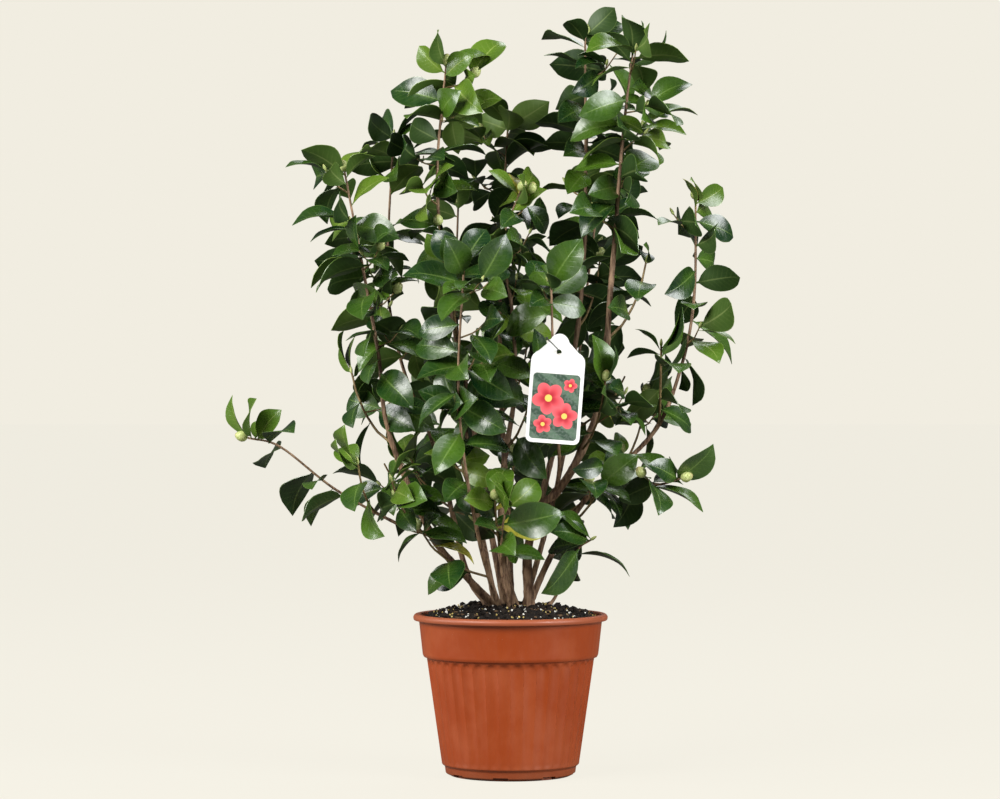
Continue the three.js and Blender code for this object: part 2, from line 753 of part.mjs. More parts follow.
/** A flat board with a rounded lobe at its top, sloping shoulders and a hole, leaning a little. */
function tagSolid() {
  const { lobe, corner } = TAG;
  const half = TAG.width / 2;
  const top = TAG.holeDrop;
  const bottom = top - TAG.length;
  const shoulder = top - TAG.shoulder;
  const shape = new THREE.Shape();
  shape.moveTo(corner - half, bottom);
  shape.lineTo(half - corner, bottom);
  shape.quadraticCurveTo(half, bottom, half, bottom + corner);
  shape.lineTo(half, shoulder);
  shape.quadraticCurveTo(half, shoulder + corner, half - corner, shoulder + 1.5 * corner);
  shape.lineTo(lobe + 2, top - lobe);
  shape.quadraticCurveTo(lobe - 2, top, 0, top);
  shape.quadraticCurveTo(2 - lobe, top, -lobe - 2, top - lobe);
  shape.lineTo(corner - half, shoulder + 1.5 * corner);
  shape.quadraticCurveTo(-half, shoulder + corner, -half, shoulder);
  shape.lineTo(-half, bottom + corner);
  shape.quadraticCurveTo(-half, bottom, corner - half, bottom);
  const hole = new THREE.Path();
  hole.absarc(0, 0, TAG.holeRadius, 0, 2 * Math.PI, true);
  shape.holes.push(hole);
  const settings = { depth: TAG.thickness, bevelEnabled: false, curveSegments: 5 };
  const board = new THREE.ExtrudeGeometry(shape, settings);
  board.translate(0, 0, -TAG.thickness / 2);
  board.rotateX(Math.PI / 2);
  board.rotateY(TAG.lean);
  board.translate(...TAG.hole);
  return solidFrom(board);
}

/** A closed loop round the shoot behind the tag. The upper edge of the tag's hole hangs on it. */
function tieSolid() {
  const [x, y, z] = TAG.hole;
  const loop = new THREE.TorusGeometry(TIE.bend, TIE.radius, 5, 15);
  loop.rotateY(TIE.turn);
  const rise = 0.95 * TAG.holeRadius - TIE.radius - CLEARANCE;
  const [left, up] = [TIE.bend * Math.cos(TIE.turn), TIE.bend * Math.sin(TIE.turn)];
  loop.translate(x - left, y, z + rise + up);
  return solidFrom(loop);
}

// ---------------------------------------------------------------- the model

const model = new THREE.Group();

function addPart(name, solid, color, roughness) {
  const mesh = new THREE.Mesh(geometryOf(solid), new THREE.MeshStandardMaterial({ color, roughness }));
  mesh.name = name;
  model.add(mesh);
}

const limbsByName = traceLimbs();
const shoots = planShoots();
const crown = new Crown(shoots);

addPart("pot", potSolid(), 0xa85432, 0.5);
addPart("compost", compostSolid(), 0x241c17, 1);
for (const limb of LIMBS) {
  let solid = limbSolid(limb);
  if (limb.from) solid = solid.subtract(limbSolid(limbsByName[limb.from], CLEARANCE));
  addPart(`${limb.from ? "bough" : "stem"}_${limb.name}`, oneBody(solid), 0x7b5a40, 0.8);
}
for (const shoot of shoots) {
  const plant = grow(shoot, crown);
  addPart(shoot.name, foliageSolid(shoot, plant), 0x35582c, 0.4);
}
addPart("plant_tag", tagSolid(), 0xf2f2ee, 0.4);
addPart("tag_tie", tieSolid(), 0x23251f, 0.7);

export default model;
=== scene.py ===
# A camellia shrub in a fluted nursery pot, dressed over its CAD frame.
#
# The plant is laid out in millimetres and its meshes are built in metres, +Z up, with the origin
# under the middle of the pot. Limbs, leaders and their spaces follow the same rule as the solids,
# and grow on here to finer twigs, leaves at their true size, and buds.

import math
from collections import namedtuple
from functools import partialmethod

import bmesh
import bpy
import numpy as np
from mathutils import Matrix, Vector, noise


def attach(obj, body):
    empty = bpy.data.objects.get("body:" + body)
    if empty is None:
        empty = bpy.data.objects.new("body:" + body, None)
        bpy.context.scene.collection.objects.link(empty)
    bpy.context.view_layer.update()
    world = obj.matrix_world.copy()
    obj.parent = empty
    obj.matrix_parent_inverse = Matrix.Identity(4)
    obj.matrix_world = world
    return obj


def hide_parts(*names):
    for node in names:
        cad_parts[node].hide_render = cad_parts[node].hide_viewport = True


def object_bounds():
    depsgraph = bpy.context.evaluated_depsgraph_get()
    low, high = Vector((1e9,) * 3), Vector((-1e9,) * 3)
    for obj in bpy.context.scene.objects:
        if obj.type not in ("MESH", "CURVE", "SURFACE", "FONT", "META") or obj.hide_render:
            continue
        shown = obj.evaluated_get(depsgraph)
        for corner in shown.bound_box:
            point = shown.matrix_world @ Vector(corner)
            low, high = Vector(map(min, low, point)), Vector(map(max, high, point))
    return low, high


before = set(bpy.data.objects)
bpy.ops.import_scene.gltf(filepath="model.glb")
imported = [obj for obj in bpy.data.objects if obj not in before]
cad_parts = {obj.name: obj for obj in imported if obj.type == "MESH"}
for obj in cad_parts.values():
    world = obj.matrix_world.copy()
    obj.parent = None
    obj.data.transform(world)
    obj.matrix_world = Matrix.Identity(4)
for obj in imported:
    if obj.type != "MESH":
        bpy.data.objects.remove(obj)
cad_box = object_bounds()

# ---- measures of the plant

MM = 0.001

GROUND = 224  # height of the compost where the stems leave it
FOOT_DEPTH = 5  # how far a stem's foot is hidden in the compost
FLARE = 0.28  # the share by which a stem is wider at the ground
FLARE_HEIGHT = 12  # over which the flare fades

# Sizes of a leaf. Width, droop and fold are shares of its length.
LEAF_LENGTHS = (57, 84)
LEAF_WIDTH = 0.58
LEAF_DROOP = 0.16
LEAF_FOLD = 0.055
LEAF_FULLNESS = 0.7
LEAF_ROLL = 1.6  # how far leaves roll about their length, in radians
LIGHT_LEAN = 1.3  # leaf faces turn to light from above and from outside the crown
CROWN_AXIS = (0, 30)

FLOWER_BUD = 7.4  # radius
LEAF_BUD = 2.1

# Twigs: radii, lengths and how steeply they rise, in radians.
LEADER_TIP = 1.3
TWIG_ROOT = 1.35
TWIG_TIP = 0.85
TWIG_LENGTHS = (32, 60)
TWIG_RISES = (0.35, 0.95)
SPRIG_LENGTH = 26
SPRIG_TURN = 1.2

# Chances of a flower bud at the end of a top, of a side shoot and of a twig.
TOP_FLOWERS = 0.9
SIDE_FLOWERS = 0.45
TWIG_FLOWERS = 0.3

# Where leaves and twigs leave a leader, and how loosely they keep to their turn and rise.
INTERNODE = 17
TOP_START = 10
SIDE_START = 22
CREST_LEAVES = 5
CREST_STEP = 4
CREST_SPRAY = -1  # the number that leaves of a crest carry in place of their spray's
CREST_RISES = (0.5, 1.0)
NODE_RISES = (-0.65, 0.3)
TWIG_EVERY = 3
GOLDEN_TURN = math.radians(137.5)
TURN_SLACK = 0.5
TWIG_TURN_SLACK = 0.4
RISE_SLACK = 0.9

# Distances kept between the sampled points of a new leaf or twig and what is there already.
ROOM_LIMB = 1.6
ROOM_BORDER = -9
ROOM_OWN = 3.4
ROOM_OTHER = 4.2
ROOM_GROUND = 7
ROOM_SEARCH = 62
ROOM_BOX = 2  # how far past the box of the solids they may reach

# The tag: where its hole hangs, its size, its lean in radians, and the room kept round it.
TAG_HOLE = (62, -134, 561)
TAG_WIDTH = 70
TAG_LENGTH = 142
TAG_HOLE_DROP = 24
TAG_LEAN = 0.075
TAG_KEEP_SIDE = 40
TAG_KEEP_BEHIND = 7
TAG_KEEP_HEIGHT = 80
TAG_MIDDLE_DROP = 49

# Each limb: its name and the limb that carries it, its radius at the foot and where it enters the
# foliage, the share of its line that is bare, its side shoots as (share along the line, compass
# angle, size), and the points that it passes through.
LIMBS = (
    ("left", None, 5.4, 2.6, 0.54, ((0.2, 235, 1.1), (0.42, 150, 1)), (
        (-19, -15, GROUND), (-59, -28, 266), (-105, -42, 323), (-160, -56, 455), (-174, -56, 560),
        (-198, -48, 690), (-219, -42, 800))),
    ("left_low", "left", 2.9, 1.7, 0.4, ((0.3, 250, 0.8),), (
        (-104, -42, 322), (-143, -60, 334), (-228, -88, 382), (-300, -94, 438), (-343, -92, 450))),
    ("left_back", None, 4.2, 2.4, 0.46, ((0.19, 190, 1.1), (0.35, 80, 1)), (
        (-30, 12, GROUND), (-60, 28, 272), (-97, 68, 420), (-143, 84, 534), (-166, 88, 640),
        (-165, 82, 740), (-158, 74, 858))),
    ("centre_left", None, 4.8, 2.6, 0.6, ((0.17, 250, 1.2), (0.36, 120, 1), (0.5, 265, 1)), (
        (-7, 4, GROUND), (-30, 18, 345), (-52, 26, 480), (-84, 18, 647), (-98, 8, 794), (-86, 0, 944))),
    ("centre", None, 5.8, 2.8, 0.54, ((0.13, 265, 1.15), (0.38, 300, 1.1)), (
        (6, -13, GROUND), (-11, -12, 290), (-10, -8, 402), (6, 0, 513), (2, 5, 620), (-11, 4, 707),
        (13, 0, 777))),
    ("right_tall", None, 6.6, 3.4, 0.62, ((0.3, 290, 1.1), (0.5, 20, 1)), (
        (25, -8, GROUND), (23, -10, 299), (40, -14, 356), (60, -18, 376), (88, -22, 419),
        (120, -24, 503), (133, -18, 647), (150, -6, 854), (163, 0, 962))),
    ("right_back", "right_tall", 4.4, 2.6, 0.6, ((0.2, 10, 1.1), (0.42, 60, 1)), (
        (28, -11, 330), (53, 28, 413), (87, 58, 568), (100, 68, 700), (102, 66, 825), (101, 56, 992))),
    ("right_arch", None, 4.6, 2.4, 0.6, ((0.2, 300, 1.1), (0.38, 60, 1), (0.5, 270, 1)), (
        (24, 20, GROUND), (60, 28, 301), (106, 18, 373), (191, -4, 457), (229, -6, 550),
        (245, -2, 641), (247, 2, 766))),
    ("right_low", "right_arch", 2.6, 1.7, 0.38, (), (
        (106, 18, 373), (143, -6, 380), (198, -42, 388), (224, -54, 396))),
    ("right_foot", None, 2.1, 1.5, 0.5, (), (
        (50, -4, GROUND), (62, -10, 242), (87, -34, 299), (107, -50, 316))),
    ("back_centre", None, 4.8, 2.6, 0.54, ((0.18, 85, 1.2), (0.4, 60, 1.1)), (
        (1, 42, GROUND), (-3, 72, 330), (-12, 118, 500), (-14, 136, 640), (-8, 140, 780), (-3, 132, 880))),
    ("back_left", None, 4.2, 2.3, 0.52, ((0.22, 200, 1.2), (0.4, 110, 1)), (
        (-20, 34, GROUND), (-50, 112, 377), (-66, 150, 510), (-75, 170, 640), (-72, 172, 770))),
    ("back_right", None, 4.2, 2.3, 0.52, ((0.22, 340, 1.2), (0.4, 70, 1)), (
        (20, 46, GROUND), (63, 116, 377), (88, 152, 510), (106, 168, 650), (122, 168, 777))),
    ("front_left", None, 3.6, 1.8, 0.46, ((0.1, 205, 1.05),), (
        (-15, -26, GROUND), (-40, -66, 310), (-60, -108, 420), (-68, -130, 526), (-60, -140, 678))),
    ("front_right", "right_tall", 2.6, 1.6, 0.78, (), (
        (60, -18, 376), (64, -58, 420), (58, -104, 490), (55, -122.5, 530), (54.2, -126, 571),
        (53.6, -127.6, 592), (52, -133, 650))),
    ("front_low", None, 2.4, 1.5, 0.42, (), (
        (-2, -34, GROUND), (-12, -70, 275), (-11, -108, 331), (-4, -120, 364))),
)

# Places where sky shows through the crown, as upright ellipses that run through it along Y:
# the centre's x and z, half the width and half the height.
OPENINGS = np.array([
    [190, 611, 28, 22], [207, 778, 28, 22], [-130, 627, 27, 19], [-163, 757, 22, 16],
    [166, 537, 20, 18], [205, 705, 18, 21], [-7, 930, 34, 18], [51, 816, 23, 13], [267, 535, 20, 15],
    [-57, 749, 22, 9], [-176, 417, 18, 17], [-233, 341, 22, 14], [59, 772, 16, 12],
    [-266, 430, 32, 22], [-63, 595, 12, 12], [-138, 701, 16, 9], [-229, 631, 18, 13],
    [167, 449, 11, 10], [143, 316, 13, 12], [-250, 520, 30, 58],
])

# Side shoots: how far low and high ones reach and climb, and the steps in which they do so.
SIDE_REACH = (105, 56)
SIDE_CLIMB = (52, 104)
SIDE_STEPS = ((0, 0), (0.42, 0.2), (0.8, 0.58), (1, 1))
SIDE_RADIUS = 1.9
CLEARANCE = 0.3
LEADER_STEP = 46
SPAN_STEPS = 8
LIMB_STEPS = 40
FIRST_SEED = 101
SEED_STEP = 7

# Distances between the points by which limbs, leaders and twigs keep clear of each other.
LIMB_MARKS = 6
LEADER_MARKS = 12
TWIG_MARKS = 7

# Where the leaves of a twig stand: share along it, turn from its heading, and rise, in radians.
TWIG_LEAVES = ((0.97, 0.15, 0.45), (0.84, -0.95, 0.0), (0.7, 1.1, 0.1), (0.52, 2.7, 0.2), (0.36, -1.4, -0.25))
SPRIG_LEAVES = ((0.95, 0.2, 0.4), (0.6, -1.2, 0.0), (0.55, 1.3, 0.1))

# The turn, the lift and the length that a leaf tries in order until one of them has room,
# in degrees and as a share of its full length.
TRIES = (
    (0, 0, 1), (22, 5, 1), (-22, 5, 1), (0, 22, 1), (0, -20, 1), (48, 8, 1), (-48, 8, 1),
    (12, 35, 0.9), (-80, 10, 0.9), (80, 10, 0.9), (0, -45, 0.85), (120, 0, 0.8), (-120, 0, 0.8),
    (0, 10, 0.72), (180, 0, 0.72),
)

Leaf = namedtuple("Leaf", "root tip side upper width tone spray")
Bud = namedtuple("Bud", "centre along radius flower")
Rod = namedtuple("Rod", "line root tip")
Limb = namedtuple("Limb", "name carrier foot top sides line bare_length")
Shoot = namedtuple("Shoot", "name line radius leading seed marks")

# ---- small tools

UP = np.array([0.0, 0.0, 1.0])


def seeded_random(seed):
    """The 32-bit generator mulberry32: a function that gives the next number from 0 to 1."""
    mask = 0xFFFFFFFF
    state = seed & mask

    def draw():
        nonlocal state
        state = (state + 0x6D2B79F5) & mask
        t = ((state ^ (state >> 15)) * (1 | state)) & mask
        t = ((t + (((t ^ (t >> 7)) * (61 | t)) & mask)) & mask) ^ t
        return (t ^ (t >> 14)) / 4294967296

    return draw


def mix(a, b, share):
    return a + (b - a) * share


def unit(vector):
    return vector / np.linalg.norm(vector)


def heading(angle):
    return np.array([math.cos(angle), math.sin(angle), 0.0])


def lifted(angle, rise):
    return heading(angle) * math.cos(rise) + UP * math.sin(rise)


def turned(vector, axis, angle):
    """A vector turned about a unit axis."""
    cosine = math.cos(angle)
    across = np.cross(axis, vector) * math.sin(angle)
    return vector * cosine + across + axis * np.dot(axis, vector) * (1 - cosine)


def distances(samples, marks):
    return np.linalg.norm(samples[:, None] - marks[None], axis=2)


class Line:
    """A line through points, with the distance run at each of them."""

    def __init__(self, points):
        self.points = np.array(points, float)
        steps = np.linalg.norm(np.diff(self.points, axis=0), axis=1)
        self.run = np.concatenate([[0.0], np.cumsum(steps)])
        self.length = float(self.run[-1])

    def at(self, distance):
        i = int(np.clip(np.searchsorted(self.run, distance), 1, len(self.run) - 1))
        share = (distance - self.run[i - 1]) / (self.run[i] - self.run[i - 1])
        return self.points[i - 1] + share * (self.points[i] - self.points[i - 1])

    def direction(self, distance):
        return unit(self.at(distance + 2) - self.at(distance - 2))

    def stretch(self, start, end, steps):
        return Line([self.at(mix(start, end, i / steps)) for i in range(steps + 1)])

    def marks(self, spacing):
        count = max(2, round(self.length / spacing))
        return self.stretch(0, self.length, count).points


def smooth_line(way):
    """A line through the given points: Catmull-Rom spans."""
    corners = [np.array(point, float) for point in way]
    corners.insert(0, 2 * corners[0] - corners[1])
    corners.append(2 * corners[-1] - corners[-2])
    points = [corners[1]]
    for p, q, r, s in zip(corners, corners[1:], corners[2:], corners[3:]):
        for k in range(1, SPAN_STEPS + 1):
            t = k / SPAN_STEPS
            bend = 2 * p - 5 * q + 4 * r - s + t * (3 * (q - r) + s - p)
            points.append(q + 0.5 * t * (r - p + t * bend))
    return Line(points)


# ---- limbs and shoots


def trace_limbs():
    """Each limb with its line; a bough's first point is moved onto the axis of its carrier."""
    limbs = {}
    for name, carrier, foot, top, bare, sides, way in LIMBS:
        way = list(way)
        if carrier:
            axis = limbs[carrier].line.marks(2)
            way[0] = axis[np.argmin(np.linalg.norm(axis - way[0], axis=1))]
        line = smooth_line(way)
        limbs[name] = Limb(name, carrier, foot, top, sides, line, bare * line.length)
    return limbs


def limb_radius(limb, distance):
    """A steady taper, with a flare over the lowest part of a stem where it meets the ground."""
    flare = 0 if limb.carrier else FLARE * math.exp(-distance / FLARE_HEIGHT)
    return mix(limb.foot, limb.top, min(1, distance / limb.bare_length)) * (1 + flare)


def limb_marks(limb):
    """Points along a limb's bare part, and its radius at each."""
    marks = limb.line.stretch(0, limb.bare_length, LIMB_STEPS).marks(LIMB_MARKS)
    shares = np.linspace(0, 1, len(marks))
    return marks, [limb_radius(limb, share * limb.bare_length) for share in shares]


def top_shoot(limb):
    """The line of the shoot that a limb ends in."""
    entry = limb.bare_length + CLEARANCE
    steps = max(3, round((limb.line.length - entry) / LEADER_STEP))
    return limb.line.stretch(entry, limb.line.length, steps)


def side_shoot(limb, share, turn, size):
    """The line of a side shoot: low ones reach outwards and high ones climb."""
    start = limb.line.at(share * limb.line.length)
    out = heading(math.radians(turn))
    height = min(1, share / 0.5)
    reach = mix(*SIDE_REACH, height) * size
    climb = mix(*SIDE_CLIMB, height) * size
    line = smooth_line([start + out * spread * reach + UP * rise * climb for spread, rise in SIDE_STEPS])
    return line.stretch(0, line.length, 4)


def plan_shoots(limbs):
    """Every mass of foliage: first the top of each limb, then the side shoots along its bare part."""
    plans = [(f"foliage_{limb.name}", top_shoot(limb), limb.top, True) for limb in limbs.values()]
    for limb in limbs.values():
        for i, (share, turn, size) in enumerate(limb.sides):
            line = side_shoot(limb, share, turn, size)
            plans.append((f"foliage_{limb.name}_side_{i + 1}", line, SIDE_RADIUS, False))
    return [
        Shoot(name, line, radius, leading, FIRST_SEED + SEED_STEP * i, line.marks(LEADER_MARKS))
        for i, (name, line, radius, leading) in enumerate(plans)
    ]


# ---- growth

# Leaves keep within the reach of the solids, and off the compost.
REACH_LOW = np.array(cad_box[0]) / MM - ROOM_BOX
REACH_HIGH = np.array(cad_box[1]) / MM + ROOM_BOX
REACH_LOW[2] = GROUND + ROOM_GROUND


def by_tag(samples):
    """Which samples lie in the box round the tag where no leaf grows."""
    x, y, z = TAG_HOLE
    beside = np.abs(samples[:, 0] - x) < TAG_KEEP_SIDE
    before = samples[:, 1] < y + TAG_KEEP_BEHIND
    level = np.abs(samples[:, 2] - (z - TAG_MIDDLE_DROP)) < TAG_KEEP_HEIGHT
    return beside & before & level


def in_opening(samples):
    """Which samples lie in one of the openings through the crown."""
    x, z, wide, high = OPENINGS.T
    return (np.hypot((samples[:, :1] - x) / wide, (samples[:, 2:] - z) / high) < 1).any(axis=1)


class Crown:
    """The room left in the crown: what has grown so far, and whose space any point belongs to."""

    def __init__(self, limbs, shoots):
        marks, radii = zip(*map(limb_marks, limbs.values()))
        self.limb_marks = np.concatenate(marks)
        self.limb_reach = np.concatenate(radii) + ROOM_LIMB
        self.shoot_marks = np.concatenate([shoot.marks for shoot in shoots])
        self.mark_owner = np.concatenate([[shoot.seed] * len(shoot.marks) for shoot in shoots])
        self.points = np.empty((0, 3))
        self.owner = np.empty(0, int)
        self.is_twig = np.empty(0, bool)

    def fits(self, shoot, samples):
        """Whether all samples lie in the shoot's own space, clear of everything there already."""
        beyond = (samples < REACH_LOW).any() or (samples > REACH_HIGH).any()
        if beyond or by_tag(samples).any() or in_opening(samples).any():
            return False
        if (distances(samples, self.limb_marks) < self.limb_reach).any():
            return False
        away = distances(samples, self.shoot_marks)
        own = away[:, self.mark_owner == shoot.seed].min(axis=1)
        other = away[:, self.mark_owner != shoot.seed].min(axis=1)
        if (other < own + ROOM_BORDER).any():
            return False
        centre = samples[len(samples) // 2]
        close = np.abs(self.points - centre).max(axis=1) < ROOM_SEARCH
        close &= ~(self.is_twig & (self.owner == shoot.seed))
        gap = np.where(self.owner[close] == shoot.seed, ROOM_OWN, ROOM_OTHER)
        return not (distances(samples, self.points[close]) < gap).any()

    def claim(self, shoot, samples, twig=False):
        """Takes the room for the samples if they fit, and tells whether they do."""
        if not self.fits(shoot, samples):
            return False
        self.points = np.concatenate([self.points, samples])
        self.owner = np.concatenate([self.owner, [shoot.seed] * len(samples)])
        self.is_twig = np.concatenate([self.is_twig, [twig] * len(samples)])
        return True


def leaf_at(root, angle, rise, roll, length, tone, spray):
    """A leaf's frame: its root and tip, the direction across it and its upper side."""
    along = lifted(angle, rise)
    outward = unit(np.array([root[0] - CROWN_AXIS[0], root[1] - CROWN_AXIS[1], 0]))
    light = UP + outward * LIGHT_LEAN
    upper = turned(unit(light - along * np.dot(light, along)), along, roll)
    tip = root + along * length - UP * LEAF_DROOP * length * math.cos(rise)
    return Leaf(root, tip, np.cross(along, upper), upper, LEAF_WIDTH * length, tone, spray)


SAMPLE_SHARES = np.array([0.16, 0.28, 0.4, 0.52, 0.64, 0.76, 0.88])
SAMPLE_ACROSS = np.array([-1, -0.5, 0, 0.5, 1])
SAMPLE_HALF = 0.5 * np.sin(np.pi * SAMPLE_SHARES) ** LEAF_FULLNESS


def leaf_samples(leaf):
    """Points over a leaf's blade, by which it keeps its distance."""
    raised = leaf.root + leaf.upper * LEAF_FOLD * np.linalg.norm(leaf.tip - leaf.root)
    middle = raised + SAMPLE_SHARES[:, None] * (leaf.tip - leaf.root)
    spread = (SAMPLE_HALF[:, None] * SAMPLE_ACROSS)[:, :, None] * leaf.side * leaf.width
    return np.concatenate([(middle[:, None] + spread).reshape(-1, 3), [leaf.tip]])


class Growth:
    """One shoot as it grows: its rods, leaves and buds."""

    def __init__(self, shoot, crown):
        self.shoot = shoot
        self.crown = crown
        self.random = seeded_random(shoot.seed)
        self.rods = [Rod(shoot.line, shoot.radius, LEADER_TIP)]
        self.leaves = []
        self.buds = []
        self.sprays = 0

    def spread(self, amount):
        return (self.random() - 0.5) * amount

    def leaf(self, root, angle, rise, share, spray):
        """A leaf in the first of its tries that has room, or none."""
        roll = self.spread(LEAF_ROLL)
        length = mix(*LEAF_LENGTHS, self.random()) * share
        tone = self.random()
        for turn, lift, scale in TRIES:
            way = angle + math.radians(turn)
            leaf = leaf_at(root, way, rise + math.radians(lift), roll, length * scale, tone, spray)
            if self.crown.claim(self.shoot, leaf_samples(leaf)):
                self.leaves.append(leaf)
                return

    def bud(self, tip, along, flower):
        radius = FLOWER_BUD * mix(0.85, 1, self.random()) if flower else LEAF_BUD
        centre = tip + along * radius * 1.1
        if self.crown.claim(self.shoot, np.array([centre, centre + along * radius])):
            self.buds.append(Bud(centre, along, radius, flower))

    def rod(self, root, angle, rise, length, radius):
        """A twig that curves upwards, or nothing where it has no room."""
        middle = root + lifted(angle, rise - 0.25) * length / 2
        tip = middle + lifted(angle, rise + 0.2) * length / 2
        twig = Line([root, middle, tip])
        if not self.crown.claim(self.shoot, twig.marks(TWIG_MARKS)[1:], True):
            return None
        self.rods.append(Rod(twig, radius, TWIG_TIP))
        return twig

    def sprig(self, twig, angle, spray):
        """A short finer twig half way along another."""
        angle += SPRIG_TURN if self.random() < 0.5 else -SPRIG_TURN
        root = twig.at(0.5 * twig.length)
        sprig = self.rod(root, angle, 0.5, SPRIG_LENGTH * mix(0.7, 1.1, self.random()), TWIG_TIP)
        if sprig:
            self.leaves_along(sprig, angle, SPRIG_LEAVES, 0.85, spray)
            self.bud(sprig.points[-1], lifted(angle, 0.8), False)

    def leaves_along(self, twig, angle, places, size, spray):
        for share, turn, lift in places:
            way = angle + turn + self.spread(TWIG_TURN_SLACK)
            base = twig.at(share * twig.length)
            self.leaf(base, way, lift + self.spread(0.5), size * mix(0.92, 1, share), spray)

    def twig(self, root, angle):
        """A twig with its leaves, a bud and a sprig, or one leaf where it has no room."""
        length = mix(*TWIG_LENGTHS, self.random())
        rise = mix(*TWIG_RISES, self.random())
        flower = self.random() < TWIG_FLOWERS
        self.sprays += 1
        spray = self.sprays
        twig = self.rod(root, angle, rise, length, TWIG_ROOT)
        if not twig:
            self.leaf(root, angle, self.spread(RISE_SLACK), 1, spray)
            return
        self.bud(twig.points[-1], lifted(angle, rise + 0.3), flower)
        self.leaves_along(twig, angle, TWIG_LEAVES, 1, spray)
        self.sprig(twig, angle, spray)

    def grow(self):
        """The crest of leaves at the shoot's end, then leaves and twigs down along it."""
        line = self.shoot.line
        leading = self.shoot.leading
        angle = 2 * math.pi * self.random()
        flower = self.random() < (TOP_FLOWERS if leading else SIDE_FLOWERS)
        self.bud(line.points[-1], line.direction(line.length - 3), flower)
        for i in range(CREST_LEAVES):
            root = line.at(line.length - 1 - CREST_STEP * i)
            way = angle + GOLDEN_TURN * i + self.spread(TURN_SLACK)
            self.leaf(root, way, mix(*CREST_RISES, self.random()), 0.95, CREST_SPRAY)
        first = TOP_START if leading else SIDE_START
        last = line.length - CREST_LEAVES * CREST_STEP
        nodes = max(3, round((last - first) / INTERNODE))
        for n in range(nodes, 0, -1):
            root = line.at(mix(first, last, (n - 0.5) / nodes))
            angle += GOLDEN_TURN + self.spread(TURN_SLACK)
            if n % TWIG_EVERY == 0:
                self.twig(root, angle)
            else:
                self.leaf(root, angle, mix(*NODE_RISES, n / nodes) + self.spread(RISE_SLACK), 1, 0)
        return self


# ---- mesh tools


def new_object(name, data):
    """An object in the scene for a mesh, curve, light or camera."""
    holder = bpy.data.objects.new(name, data)
    bpy.context.scene.collection.objects.link(holder)
    return holder


def new_piece(name, mesh, *materials):
    """An object for a finished mesh, riding on the one body."""
    for material in materials:
        mesh.materials.append(material)
    piece = new_object(name, mesh)
    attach(piece, "root")
    return piece


def smoothed(mesh, degrees):
    """A mesh with smooth faces, and sharp edges beyond an angle."""
    mesh.shade_smooth()
    mesh.set_sharp_from_angle(angle=math.radians(degrees))
    return mesh


def mesh_from(bm, name, smooth_angle=None):
    """A mesh from a finished bmesh, smooth up to an angle in degrees."""
    mesh = bpy.data.meshes.new(name)
    bm.to_mesh(mesh)
    bm.free()
    return smoothed(mesh, smooth_angle) if smooth_angle else mesh


def baked(holder):
    """An object's mesh with its modifiers applied and no material slots; the object itself goes."""
    depsgraph = bpy.context.evaluated_depsgraph_get()
    mesh = bpy.data.meshes.new_from_object(holder.evaluated_get(depsgraph))
    mesh.materials.clear()
    bpy.data.objects.remove(holder)
    return mesh


def template_arrays(bm):
    """A small shape as arrays: points, corners of its faces, their sides, UVs and materials."""
    bm.verts.ensure_lookup_table()
    uv = bm.loops.layers.uv.active
    points = np.array([vert.co[:] for vert in bm.verts])
    corners = [[vert.index for vert in face.verts] for face in bm.faces]
    sides = np.array([len(face) for face in corners])
    uvs = np.array([loop[uv].uv[:] for face in bm.faces for loop in face.loops])
    kinds = np.array([face.material_index for face in bm.faces])
    bm.free()
    return points, np.concatenate(corners), sides, uvs, kinds


def joined_mesh(name, copies, smooth_angle):
    """One mesh of many placed templates. A copy is (template, placed points, slot shift, tone)."""
    templates, placed, shifts, tones = zip(*copies)
    _, corners, sides, uvs, kinds = zip(*templates)
    counts = [len(points) for points in placed]
    starts = np.cumsum([0] + counts[:-1])
    corners = np.concatenate([part + start for part, start in zip(corners, starts)])
    kinds = np.concatenate([part + shift for part, shift in zip(kinds, shifts)])
    sides = np.concatenate(sides)
    mesh = bpy.data.meshes.new(name)
    mesh.vertices.add(sum(counts))
    mesh.vertices.foreach_set("co", np.concatenate(placed).ravel())
    mesh.loops.add(len(corners))
    mesh.loops.foreach_set("vertex_index", corners)
    mesh.polygons.add(len(sides))
    mesh.polygons.foreach_set("loop_start", np.concatenate([[0], np.cumsum(sides)[:-1]]))
    mesh.polygons.foreach_set("material_index", kinds)
    mesh.uv_layers.new(name="UVMap").uv.foreach_set("vector", np.concatenate(uvs).ravel())
    mesh.attributes.new("tone", "FLOAT", "POINT").data.foreach_set("value", np.repeat(tones, counts))
    mesh.update(calc_edges=True)
    mesh.validate()
    return smoothed(mesh, smooth_angle)


def rods_mesh(name, rods, spacing=9):
    """One mesh of many tapering round rods."""
    curve = bpy.data.curves.new(name, "CURVE")
    curve.dimensions = "3D"
    curve.bevel_depth = MM
    curve.bevel_resolution = 1
    curve.use_fill_caps = True
    for rod in rods:
        points = rod.line.marks(spacing)
        spline = curve.splines.new("POLY")
        spline.points.add(len(points) - 1)
        spline.points.foreach_set("co", np.column_stack([points * MM, np.ones(len(points))]).ravel())
        spline.points.foreach_set("radius", np.linspace(rod.root, rod.tip, len(points)))
    mesh = baked(new_object(name, curve))
    mesh.shade_smooth()
    return mesh


# ---- shader tools

COLOUR_SOCKETS = {"Color", "Dark", "Light", "Rib", "Pore", "Base", "Worn", "Dust"}


